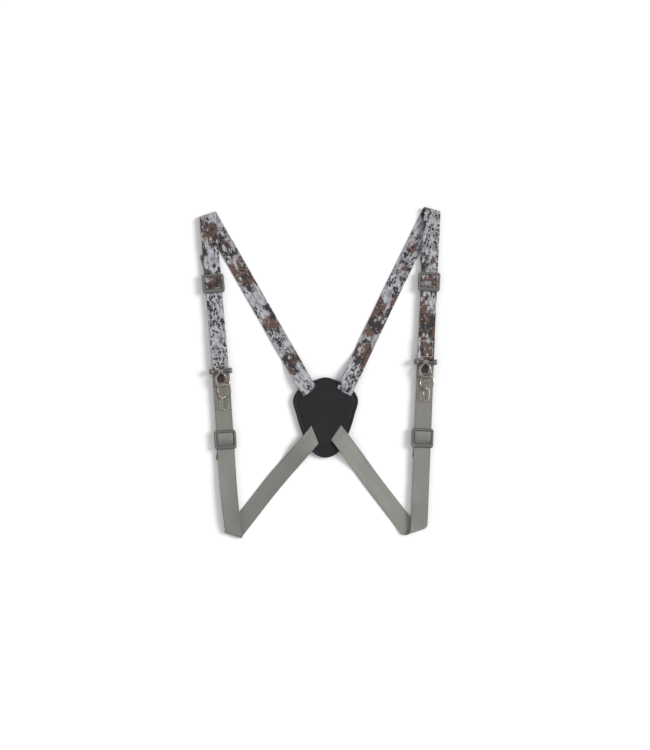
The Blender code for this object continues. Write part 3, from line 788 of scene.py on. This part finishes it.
def band_mesh(rows, width, point, roll=0.0, shade=lambda s: PLAIN_SHADE):
    """A strap's closed mesh. rows are (s, shear), point(s, t) is a place on its middle surface, and shade(s)
    is how brown its print is, and on elastic its painted shade (above 0) and painted light (below 0)."""
    columns = band_columns(width)
    step = 0.05 * MM
    rings, uvs = [], []
    for start, shear in rows:
        top, bottom, flat = [], [], []
        for t, share in columns:
            s = start + shear * t
            ahead = point(s + step, t) - point(s - step, t)
            leftward = point(s, t + step) - point(s, t - step)
            normal = ahead.cross(leftward).normalized() * share * STRAP_THICKNESS / 2
            middle = point(s, t)
            top.append(middle + normal)
            bottom.append(middle - normal)
            flat.append((t, s + roll))
        rings.append(top + bottom[-2:0:-1])
        uvs.append(flat + flat[-2:0:-1])
    mesh = loft(rings, uvs)
    shades = [shade(start) for start, _ in rows for _ in rings[0]]
    mesh.attributes.new("print_shade", "FLOAT", "POINT").data.foreach_set("value", shades)
    return mesh


class Strap:
    """A strap that comes up out of its slot, runs out along the floor, folds over and comes back to its rod.

    s is the distance along the flat strap from its slot, and t the distance to the left of its middle.
    """

    def __init__(self, side, which):
        self.side, self.which = side, which
        self.name = f"{side}_{which}"
        self.width = STRAP_WIDTH[which]
        self.lie = {name: value * MM for name, value in zip(LIE_NAMES, LIE[side, which])}
        self.read_slot(corners_of(f"{self.name}_anchor_tab"))
        self.rod_place = self.find_rod()
        self.fold_legs(self.find_fold(corners_of(f"{self.name}_strap")))
        slide_low, slide_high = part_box(f"{self.name}_slide")
        self.slide_place = ((slide_low + slide_high) / 2).to_2d()
        self.slide_s = self.rod_s - (self.slide_place - self.rod_place).length
        nearest, farthest = joint(f"{self.name}_adjust")["range_m"]
        self.travel_middle = self.slide_s - (nearest + farthest) / 2
        self.travel_reach = (farthest - nearest) / 2 + SLIDE_REACH

    def read_slot(self, corners):
        """The slot's middle, the direction along it and the direction across it into the yoke."""
        top = max(corner.z for corner in corners)
        mouth = [corner.to_2d() for corner in corners if corner.z > top - 0.2 * MM]
        self.slot = mean(mouth)
        far = max(mouth, key=lambda corner: (corner - self.slot).length) - self.slot
        end = mean([corner for corner in mouth if (corner - self.slot).dot(far) > 0.5 * far.length_squared])
        self.slot_along = (end - self.slot).normalized()
        inward = mean([corner.to_2d() for corner in corners]) - self.slot
        self.inward = (inward - self.slot_along * inward.dot(self.slot_along)).normalized()

    def find_rod(self):
        """The middle of this strap's rod on the web bar."""
        hinge = joint(f"{self.side}_hook_swing")
        axis = Vector(hinge["axis"]).to_2d()
        up = Vector((axis.y, -axis.x)) * AWAY_FROM_BAR[self.which]
        return Vector(hinge["pos_m"]).to_2d() + up * STRAP_ROD_OFFSET

    def find_fold(self, corners):
        """The middle of the fold's outer edge: the CAD strap's corners half way up its bend."""
        outermost = max(abs(corner.y) for corner in corners)
        return mean([corner.to_2d() for corner in corners if abs(corner.y) > outermost - 20 * MM
                     and abs(corner.z - LOW_LEVEL - FOLD_RADIUS) < 0.3 * MM])

    def fold_legs(self, tip):
        """Settles the two legs' directions, which depend on where the bend starts and ends."""
        crease, comeback = tip, tip
        for _ in range(12):
            self.lower = (crease - self.slot).normalized()
            self.upper = (self.rod_place - comeback).normalized()
            self.across = (self.lower - self.upper).normalized()
            along = Vector((self.across.y, -self.across.x))
            drift = self.lower.dot(along) / self.lower.dot(self.across)
            crease = tip - self.across * FOLD_RADIUS - along * drift * FOLD_ARC / 2
            comeback = crease + along * drift * FOLD_ARC
        self.left = Vector((-self.lower.y, self.lower.x))
        self.rightward = along * math.copysign(1, along.x)
        self.crease = crease
        self.crease_s = (crease - self.slot).length
        self.bend_s = self.crease_s + FOLD_ARC / self.lower.dot(self.across)
        self.rod_s = self.bend_s + (self.rod_place - comeback).length
        self.slot_shear = self.slot_along.dot(self.lower) / self.slot_along.dot(self.left)
        self.crease_shear = along.dot(self.lower) / along.dot(self.left)
        self.tuck_s = -TUCK_RADIUS / self.lower.dot(self.inward)

    def lift(self, s, t):
        """How far the strap stands off its even course: its arch on the yoke, its curl and its waves."""
        edge = abs(2 * t / self.width)
        if s < self.crease_s:
            arch = self.lie["arch"] * risen(s, *ARCH_UP) * (1 - risen(s, *ARCH_DOWN))
            rise = self.lie["rise"] * risen(s, self.crease_s - FOLD_RISE, self.crease_s)
            ripple = max(0, noise.noise(Vector((s / RIPPLE_LENGTH, self.slide_s * RIPPLE_SEED, 0))))
            free = 1 - max(near(s, 0, *FLAT_AT_SLOT), near(s, self.crease_s, *FLAT_BEFORE_FOLD))
            return arch + rise + free * (FLOOR_CUP * edge ** 2 + RIPPLE_HEIGHT * ripple)
        rise = self.lie["rise"] * (1 - risen(s, self.crease_s, self.bend_s))
        at_fold = near(s, self.bend_s, *FLAT_AFTER_FOLD)
        free = 1 - max(at_fold, near(s, self.rod_s, *FLAT_AT_ROD),
                       near(s, self.travel_middle, self.travel_reach, SLIDE_FADE))
        wave = math.sin(2 * math.pi * s / WAVE_LENGTH + self.slide_s * WAVE_PHASE)
        shape = self.lie["cup"] * edge ** 2 + self.lie["turn"] * edge ** 8 + WAVE_HEIGHT * wave
        return rise + SHALLOW_WAVE * (1 - at_fold) * wave + free * shape

    def flat_point(self, s, t):
        """The place in the plan before any fold, with the sideways bow of the leg on the floor."""
        bow = self.lie["bow"] * math.sin(math.pi * min(max(s / self.crease_s, 0), 1)) ** 2
        return self.slot + self.lower * s + self.left * (t + bow)

    def slip(self, beyond):
        """How far the strap is moved along the fold, at a distance beyond the crease."""
        low, high = self.lie["lower_slip"], self.lie["upper_slip"]
        if beyond <= 0:
            before = (self.crease - self.slot).dot(self.across)
            return low * max(0, 1 + beyond / before) ** 1.5
        around = min(beyond / FOLD_ARC, 1)
        flat_from = (self.travel_middle - self.travel_reach - self.bend_s) * self.lower.dot(self.across)
        after = max(0, 1 - max(0, beyond - FOLD_ARC) / flat_from) ** 2
        return low + (high * after - low) * around

    def course(self, s, t):
        """The even course of the legs and the bend, for a strap that goes straight on at both ends."""
        flat = self.flat_point(s, t)
        beyond = (flat - self.crease).dot(self.across)
        flat += self.rightward * self.slip(beyond)
        if beyond <= 0:
            on_yoke = 1 - ease((s - ON_YOKE) / COME_DOWN)
            return Vector((*flat, LOW_LEVEL + (YOKE_STRAP_LEVEL - LOW_LEVEL) * on_yoke))
        angle = min(beyond / FOLD_RADIUS, math.pi)
        past = max(0, beyond - FOLD_ARC)
        plan = flat + self.across * (FOLD_RADIUS * math.sin(angle) - beyond - past)
        return Vector((*plan, LOW_LEVEL + FOLD_RADIUS * (1 - math.cos(angle))))

    def point(self, s, t):
        """The place of the strap's middle surface."""
        row = s - self.slot_shear * t
        if row < self.tuck_s:
            deep = (row - self.tuck_s) * self.lower.dot(self.inward)
            into, down = tucked_end(deep)
            plan = self.flat_point(s, t) + self.inward * (into - deep)
            return Vector((*plan, YOKE_STRAP_LEVEL - down))
        if s > self.rod_s:
            along, down = wrapped_end(s - self.rod_s)
            return self.course(self.rod_s + along, t) - UP * down
        return self.course(s, t) + UP * self.lift(s, t)

    def rows(self):
        """(s, shear) of each row: along the slot first, then along the crease, then square to the strap."""
        tucked = self.tuck_s + TUCK_LENGTH / self.lower.dot(self.inward)
        rows = [(s, self.slot_shear) for s in spread(tucked, self.tuck_s, TUCK_STEPS)[:-1]]
        count = round(self.crease_s / FLOOR_PITCH)
        for step, s in enumerate(spread(self.tuck_s, self.crease_s, count)[:-1]):
            turned = ease(step / count * 2 - 0.5)
            rows.append((s, self.slot_shear + (self.crease_shear - self.slot_shear) * turned))
        rows += [(s, self.crease_shear) for s in spread(self.crease_s, self.bend_s, BEND_STEPS)]
        count = round((self.rod_s - self.bend_s) / UPPER_PITCH)
        for step, s in enumerate(spread(self.bend_s, self.rod_s, count)[1:], 1):
            rows.append((s, self.crease_shear * (1 - step / count)))
        wrapped = self.rod_s + WRAP_ARC
        rows += [(s, 0) for s in spread(self.rod_s, wrapped, END_STEPS)[1:]]
        rows += [(s, 0) for s in spread(wrapped, wrapped + SEWN_LENGTH, END_STEPS)[1:]]
        return rows

    def shade(self, s):
        """At a distance from the slot: how brown a shoulder strap's print is, and how much painted shade
        (above 0) and painted light (below 0) a side strap carries.
        """
        return along_knots(SHADES[self.side, self.which], s / MM)

    def make(self, materials):
        """The strap's piece, placed without a body to ride on, with its CAD strap and anchor tab hidden."""
        mesh = band_mesh(self.rows(), self.width, self.point, self.lie["roll"], self.shade)
        piece = place_mesh(f"{self.name}_webbing", mesh, None,
                           materials[self.which])
        start = Vector((*self.slot, YOKE_STRAP_LEVEL))
        outward = math.copysign(1, self.lower.x)
        start.x += outward * abs(self.slot_along.x) * self.width / 2
        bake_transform(piece)
        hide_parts(f"{self.name}_strap", f"{self.name}_anchor_tab")


# Stitches

def stitch(start, end):
    """One stitch: thread that dips into the cloth at both ends."""
    path = []
    for share in spread(0, 1, 6):
        rise = math.sin(math.pi * share) ** 0.5 * 0.85 - 0.6
        path.append(start.lerp(end, share) + UP * THREAD_RADIUS * rise)
    return tube(path, THREAD_RADIUS, THREAD_RADIUS, UP, sides=8)


def seam(line):
    """Stitches along a line of close points."""
    lengths = [0.0]
    for a, b in zip(line, line[1:]):
        lengths.append(lengths[-1] + (b - a).length)

    def at(distance):
        for index in range(len(line) - 1):
            if distance <= lengths[index + 1] or index == len(line) - 2:
                share = (distance - lengths[index]) / (lengths[index + 1] - lengths[index])
                return line[index].lerp(line[index + 1], share)

    count = max(1, round(lengths[-1] / STITCH_PITCH))
    pitch = lengths[-1] / count
    meshes = []
    for index in range(count):
        middle = pitch * (index + 0.5)
        meshes.append(stitch(at(middle - STITCH_LENGTH / 2), at(middle + STITCH_LENGTH / 2)))
    return meshes


def make_strap_seams(strap, materials):
    """A sewn box on the strap where its end is folded back round the web bar. Its far line is sewn twice."""
    layer = SEWN_PITCH if strap.which == "shoulder" else 0
    near_rod, far = strap.rod_s - SEAM_FROM_ROD, strap.rod_s - SEWN_LENGTH + 1 * MM
    edge = strap.width / 2 - SEAM_INSET
    box = [(near_rod, -edge), (near_rod, edge), (far, edge), (far, -edge), (near_rod, -edge)]
    lines = list(zip(box, box[1:])) + [((far - SEAM_GAP, -edge), (far - SEAM_GAP, edge))]
    meshes = []
    for (s0, t0), (s1, t1) in lines:
        places = zip(spread(s0, s1, 8), spread(t0, t1, 8))
        meshes += seam([strap.point(s, t) + UP * (STRAP_THICKNESS * 0.475 + layer) for s, t in places])
    place_mesh(f"{strap.name}_stitches", merged(meshes), f"{strap.side}_loop",
               materials[f"{strap.which}_thread"])


def make_sewn_end(strap, materials):
    """The end of the shoulder strap that is turned back over its front at the web bar and sewn down."""
    start, end = strap.rod_s - SEWN_LENGTH - 4 * MM, strap.rod_s + 0.5 * MM
    width = strap.width + SEWN_WIDER

    def point(s, t):
        return strap.point(s, t) + UP * SEWN_PITCH

    rows = [(s, 0) for s in spread(start, end, 16)]
    mesh = band_mesh(rows, width, point, strap.lie["roll"] + SEWN_ROLL, strap.shade)
    piece = place_mesh(f"{strap.name}_sewn_end", mesh, f"{strap.side}_loop",
                       materials[strap.which])


# Slides, with what moves with them

def axes_at(place, right, ahead):
    """A matrix at a place with X to the right, Y ahead and Z up."""
    return Matrix.Translation(place) @ Matrix((right, ahead, UP)).transposed().to_4x4()


def slide_frame(strap):
    """A matrix at the middle of the strap in its slide, with Y up the strap and Z up."""
    axis = Vector(joint(f"{strap.name}_adjust")["axis"]) * AWAY_FROM_BAR[strap.which]
    return axes_at((*strap.slide_place, HIGH_LEVEL), axis.cross(UP), axis)


def softened(node, skin, extras=()):
    """A CAD node's shape, with any extras joined to it, as one moulded skin with rounded edges."""
    voxel, rounds, keep = skin
    mesh = merged([frame["nodes"][node].data, *extras])
    return applied(mesh,
                   ("REMESH", {"mode": "VOXEL", "voxel_size": voxel}),
                   ("SMOOTH", {"factor": 0.5, "iterations": rounds}),
                   ("DECIMATE", {"ratio": keep}))


def crowned(mesh, matrix):
    """Rounds the tops of a slide's bars, and thins its side rails to what shows of them beside the strap."""
    inverse = matrix.inverted()
    rail = SLIDE_HALF.x - VISIBLE_RAIL
    rails = (WINDOW_HALF_X + SLIDE_HALF.x) / 2
    for vertex in mesh.vertices:
        place = inverse @ vertex.co
        if place.z > CROWN_FROM:
            beside = (abs(place.x) - rails) / (SLIDE_HALF.x - rails)
            bar = (WINDOW_Y[0] - SLIDE_HALF.y) / 2 if place.y < 0 else (WINDOW_Y[1] + SLIDE_HALF.y) / 2
            over = (abs(place.y) - abs(bar)) / (SLIDE_HALF.y - abs(bar))
            in_corner = beside > 0 and over > 0
            off = math.hypot(beside, over) if in_corner else min(abs(beside), abs(over))
            place.z -= CROWN_DROP * min(off, 1.0) ** 2 * ease((place.z - CROWN_FROM) / CROWN_FADE)
            if abs(place.x) < WINDOW_HALF_X:
                place.x *= rail / WINDOW_HALF_X
            else:
                beyond = (abs(place.x) - WINDOW_HALF_X) * VISIBLE_RAIL / (SLIDE_HALF.x - WINDOW_HALF_X)
                place.x = math.copysign(rail + beyond, place.x)
        vertex.co = matrix @ place
    return mesh


def tail_mesh(which, drift, roll):
    """The second layer in the slide's own axes, from its free end to the part that is sewn round the rod."""
    length = TAIL_LENGTH[which]
    away = AWAY_FROM_BAR[which]
    straight_from = length - SLIDE_REACH * 0.75

    def point(s, t):
        along, down = (s - length, 0.0) if s < length else wrapped_end(s - length)
        droop = TAIL_DROOP * (1 - ease(s / length))
        sideways = t * away + drift * ease((straight_from - s) / straight_from)
        return Vector((sideways, SLIDE_ROD_Y - away * along, -LAYER_PITCH - down - droop))

    wrapped = length + WRAP_ARC
    places = spread(0, length, 14) + spread(length, wrapped, 12)[1:]
    places += spread(wrapped, wrapped + TAIL_WRAP, 8)[1:]
    return band_mesh([(s, 0) for s in places], STRAP_WIDTH[which], point, roll)


def bend_half(which):
    """Half the width of the strap's rise in the window."""
    return min(STRAP_WIDTH[which] / 2, SLIDE_HALF.x - VISIBLE_RAIL) - GAP


def bend_mesh(which, roll):
    """The strap's rise over the slide's rod, seen in the window: a low pillow on the straight strap, with
    painted shade towards the bottom bar.
    """
    half = bend_half(which)
    low, high = BEND_Y
    base = STRAP_THICKNESS / 2 + 0.2 * MM
    rings, uvs, grime = [], [], []
    for along in spread(0, 1, BEND_ROWS):
        y = low + (high - low) * along
        swell = math.sin(math.pi * along) ** 0.4 if 0 < along < 1 else 0.0
        top, bottom, places = [], [], []
        for across in spread(-1, 1, BEND_COLUMNS):
            height = BEND_LIP + BEND_HEIGHT * swell * (1 - 0.7 * abs(across) ** 10)
            top.append(Vector((half * across, y, base + height)))
            bottom.append(Vector((half * across, y, base)))
            places.append((half * across, y + roll))
        rings.append(top + bottom[::-1])
        uvs.append(places + places[::-1])
        # painted shade, darkest by the bottom bar and gone near the top bar
        grime += [max(0.0, 0.85 - along)] * len(rings[0])
    mesh = loft(rings, uvs)
    mesh.attributes.new("grime", "FLOAT", "POINT").data.foreach_set("value", grime)
    return mesh


def make_slide(strap, materials):
    """The slide, the tail sewn round its rod, and the strap's rise in its window."""
    which, name = strap.which, strap.name
    matrix = slide_frame(strap)
    mesh = crowned(softened(f"{name}_slide", SLIDE_SKIN), matrix)
    slide = place_mesh(f"{name}_buckle", mesh, f"{name}_slide", materials["slide"])
    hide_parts(f"{name}_slide")

    def place_webbing(part, mesh):
        return place_mesh(f"{name}_{part}", mesh, f"{name}_slide", materials[which],
                          matrix)

    tail = place_webbing("tail", tail_mesh(which, strap.lie["tail_drift"], strap.lie["roll"] + TAIL_ROLL))
    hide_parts(f"{name}_strap_tail")
    rise = place_webbing("window_bend", bend_mesh(which, strap.lie["roll"] + strap.slide_s))
    2 * bend_half(which)


# Yoke

def yoke_outline():
    """The plates' outline as a smooth closed line, from the back plate's own edge."""
    low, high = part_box("yoke_back_plate")
    centre = ((low + high) / 2).to_2d()
    rim = {corner.to_2d().freeze() for corner in corners_of("yoke_back_plate") if corner.z < 0.1 * MM}
    rim = sorted(rim, key=lambda corner: math.atan2(corner.y - centre.y, corner.x - centre.x))
    around = [corner.to_3d() for corner in rim]
    overlap, steps = 2, 4  # so that the curve is smooth where it closes
    line = smooth_path(around[-overlap:] + around + around[:overlap], steps)
    return line[overlap * steps:-overlap * steps - 1]


def inset_outline(outline, inset):
    """The outline moved inwards by a distance."""
    moved = []
    count = len(outline)
    for index, point in enumerate(outline):
        tangent = (outline[(index + 1) % count] - outline[index - 1]).normalized()
        moved.append(point + Vector((-tangent.y, tangent.x, 0)) * inset)
    return moved


def plate_mesh(outline, bottom, thickness, grooved):
    """A yoke plate with rounded edges, and a groove round its top if it is grooved."""
    under = [(EDGE_ROUNDING * (1 - math.sin(angle)), EDGE_ROUNDING * (1 - math.cos(angle)))
             for angle in (math.radians(degrees) for degrees in (0, 22, 45, 67, 90))]
    profile = under + [(inset, thickness - height) for inset, height in reversed(under)]
    if grooved:
        for share, deep in ((-0.5, 0), (-0.3, 0.7), (0, 1), (0.3, 0.7), (0.5, 0)):
            profile.append((GROOVE_INSET + share * GROOVE_WIDTH, thickness - deep * GROOVE_DEPTH))
    profile.append((GROOVE_INSET + 2.5 * MM, thickness))
    return stacked([[point + UP * (bottom + height) for point in inset_outline(outline, inset)]
                    for inset, height in profile])


def slot_cutter(strap):
    """A round-ended bar through a strap's slot."""
    reach = strap.width / 2 - SLOT_HALF / 2
    outline = []
    for end, start in ((1, -math.pi / 2), (-1, math.pi / 2)):
        centre = Vector((*(strap.slot + strap.slot_along * end * reach), YOKE_TOP))
        for angle in spread(start, start + math.pi, 8):
            across = strap.slot_along * math.cos(angle) + strap.inward * math.sin(angle)
            outline.append(centre + (across * SLOT_HALF).to_3d())
    return stacked([[point + UP * level for point in outline] for level in (-4 * MM, 4 * MM)])


def make_yoke(straps, materials):
    """Front and back plates with rounded edges, a stitched groove, and the CAD core between them."""
    outline = yoke_outline()
    for name in ("yoke_front", "yoke_back"):
        low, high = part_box(f"{name}_plate")
        mesh = plate_mesh(outline, low.z, high.z - low.z, name == "yoke_front")
        if name == "yoke_front":
            cutter = bpy.data.objects.new("cutter", merged([slot_cutter(strap) for strap in straps]))
            bpy.context.scene.collection.objects.link(cutter)
            mesh = applied(mesh, ("BOOLEAN", {"operation": "DIFFERENCE", "object": cutter}))
            bpy.data.objects.remove(cutter)
        plate = place_mesh(name, mesh, "yoke", materials["yoke"], smooth_angle=50)
        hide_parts(f"{name}_plate")
    core = frame["nodes"]["yoke_core"]
    core.data.materials.clear()
    core.data.materials.append(materials["yoke"])
    line = [point + UP * (YOKE_TOP - GROOVE_DEPTH * 0.75) for point in inset_outline(outline, GROOVE_INSET)]
    place_mesh("yoke_stitches", merged(seam(line + line[:1])), "yoke", materials["yoke_thread"])


# Hook, gate, ring and link

def bar_frame(side):
    """A matrix at the middle of the hook rod, with X along it and Y up the strap."""
    hinge = joint(f"{side}_hook_swing")
    right = -Vector(hinge["axis"])
    return axes_at(hinge["pos_m"], right, UP.cross(right))


def at_joint(side, name):
    """The web bar's axes, moved to another joint."""
    matrix = bar_frame(side)
    matrix.translation = joint(f"{side}_{name}")["pos_m"]
    return matrix


def split_ring_mesh():
    """Two turns of flattened wire, pressed together, with a step where one turn passes to the other."""
    path = []
    for turn in spread(0, 2, 150):
        angle = 2 * math.pi * turn + RING_START
        step_up = risen(turn, 0.93, 1.07)
        level = (step_up - 0.5) * RING_WIRE * 1.06
        path.append(Vector((RING_RADIUS * math.cos(angle), RING_RADIUS * math.sin(angle), level)))
    return tube(path, RING_WIRE * 1.05, RING_WIRE * 0.5, UP, sides=12)


def link_mesh():
    """A long link of round wire with a closed joint in one of its straight sides."""
    path = []
    for angle in spread(0, 2 * math.pi, 64)[:-1]:
        drop = 0 if math.sin(angle) > 0 else LINK_STRAIGHT
        path.append(Vector((LINK_RADIUS * math.cos(angle), LINK_RADIUS * math.sin(angle) - drop, 0)))
    wire = tube(path, LINK_WIRE, LINK_WIRE, UP, closed=True)
    weld = []
    for share in spread(0, 1, 8):
        y = -LINK_STRAIGHT / 2 + (share - 0.5) * LINK_WELD
        radius = LINK_WIRE * (1 + 0.22 * math.sin(math.pi * share) ** 0.5)
        weld.append([Vector((-LINK_RADIUS + radius * math.cos(angle), y, radius * math.sin(angle)))
                     for angle in spread(0, 2 * math.pi, 16)[:-1]])
    return merged([wire, loft(weld)])


def knob_mesh(place, size):
    """A rounded grip at one end of the web bar."""
    bm = bmesh.new()
    shape = Matrix.LocRotScale(place, None, Vector(size))
    bmesh.ops.create_icosphere(bm, subdivisions=3, radius=1, matrix=shape)
    return finished(bm)


def spine_mesh(matrix):
    """The wide back of the hook, which thins out towards the arm that the ring hangs on."""
    path = smooth_path([Vector((*point, 0)) * MM for point in HOOK_SPINE], 8)
    thin, thick = SPINE_WIDTHS
    widths = [thin + (thick - thin) * math.sin(math.pi * share) for share in spread(0, 1, len(path) - 1)]
    mesh = tube(path, widths, SPINE_HEIGHT, UP)
    mesh.transform(matrix)
    return mesh


def make_tab(side, materials):
    """The short dark tab that hangs from the web bar over the side strap, behind the hook, where it also
    stands in for the shade inside the hook.
    """
    width, length = TAB_SIZE
    level = HIGH_LEVEL - HOOK_LEVEL + LAYER_PITCH

    def point(s, t):
        taper = 1 - 0.35 * risen(s, 0.6 * length, length)
        return Vector((-t * taper, -TAB_START - s, level))

    mesh = band_mesh([(s, 0) for s in spread(0, length, 16)], width, point)
    tab = place_mesh(f"{side}_bar_tab", mesh, f"{side}_loop", materials["tab"],
                     bar_frame(side))


def make_hardware(side, materials):
    """The web bar, and the hook, gate, ring and link that hang on it."""
    matrix = bar_frame(side)
    knobs = [knob_mesh(matrix @ Vector((end * KNOB_PLACE[0], *KNOB_PLACE[1:])), KNOB_SIZE) for end in (-1, 1)]
    moulded = (
        ("bar", "web_bar", "loop", materials["bar"], BAR_SKIN, knobs),
        ("hook_body", "snap_hook", "hook", materials["hook"], HOOK_SKIN, [spine_mesh(matrix)]),
    )
    for name, node, body, material, skin, extras in moulded:
        mesh = softened(f"{side}_{node}", skin, extras)
        piece = place_mesh(f"{side}_{name}", mesh, f"{side}_{body}", material,
                           smooth_angle=180)
        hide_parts(f"{side}_{node}")
    path = smooth_path([Vector((*point, 0)) * MM for point in FERRULE], 5)
    nose = tube(path, FERRULE_RADIUS, FERRULE_RADIUS, UP)
    place_mesh(f"{side}_hook_ferrule", nose, f"{side}_hook", materials["metal"], matrix)
    make_tab(side, materials)
    path = smooth_path([Vector(point) * MM for point in GATE_PATH], 7)
    ring_drop = Matrix.Translation((0, RING_REACH - RING_RADIUS, 0))
    link_drop = Matrix.Translation((0, LINK_REACH - LINK_RADIUS, 0))
    wires = (
        ("gate_wire", "hook_gate", "gate", tube(path, GATE_WIRE, GATE_WIRE, Vector((1, 0, 0))),
         at_joint(side, "gate_open")),
        ("ring_coil", "split_ring", "ring", split_ring_mesh(),
         at_joint(side, "ring_swing") @ ring_drop @ Matrix.Rotation(-RING_TILT, 4, "Y")),
        ("long_link", "connector_link", "link", link_mesh(),
         at_joint(side, "link_swing") @ link_drop @ Matrix.Rotation(-LINK_TILT, 4, "Y")),
    )
    for name, node, body, mesh, matrix in wires:
        piece = place_mesh(f"{side}_{name}", mesh, f"{side}_{body}", materials["metal"], matrix)
        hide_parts(f"{side}_{node}")


# Floor, light and camera

def make_stage():
    """A plain pale floor under a pale sky, a soft low light from the right, and the camera straight above."""
    bpy.ops.mesh.primitive_plane_add(size=FLOOR_SIZE, location=(0, 0, cad_low.z - 0.05 * MM))
    floor = bpy.context.object
    floor.name = "floor"
    shader = Shader("floor")
    cloud = shader.noise(shader.object_place(), FLOOR_CLOUD, 2)
    colour = shader.mix(cloud, *FLOOR_GREYS)
    floor.data.materials.append(shader.finish(colour, shader.line(cloud, 0.05, 0.8)))
    world = bpy.data.worlds.new("sky")
    world.use_nodes = True
    world.node_tree.nodes["Background"].inputs["Color"].default_value = (1, 1, 1, 1)
    world.node_tree.nodes["Background"].inputs["Strength"].default_value = SKY_STRENGTH
    bpy.context.scene.world = world
    sun = bpy.data.lights.new("sun", "SUN")
    sun.energy = SUN_STRENGTH
    sun.angle = SUN_SOFTNESS
    lamp = bpy.data.objects.new("sun", sun)
    direction = Vector((math.cos(SUN_AZIMUTH) * math.cos(SUN_ELEVATION),
                        math.sin(SUN_AZIMUTH) * math.cos(SUN_ELEVATION), math.sin(SUN_ELEVATION)))
    lamp.rotation_euler = direction.to_track_quat("Z", "Y").to_euler()
    bpy.context.scene.collection.objects.link(lamp)
    lens = bpy.data.cameras.new("camera")
    lens.lens = CAMERA_LENS
    camera = bpy.data.objects.new("camera", lens)
    camera.location = (*CAMERA_AIM, CAMERA_HEIGHT)
    bpy.context.scene.collection.objects.link(camera)
    bpy.context.scene.camera = camera
    bpy.context.scene.view_settings.view_transform = "Standard"


def main():
    make_stage()
    materials = make_materials()
    straps = [Strap(side, which) for side, which in LIE]
    make_yoke(straps, materials)
    for side in ("left", "right"):
        make_hardware(side, materials)
    for strap in straps:
        strap.make(materials)
        make_strap_seams(strap, materials)
        if strap.which == "shoulder":
            make_sewn_end(strap, materials)
        make_slide(strap, materials)


main()
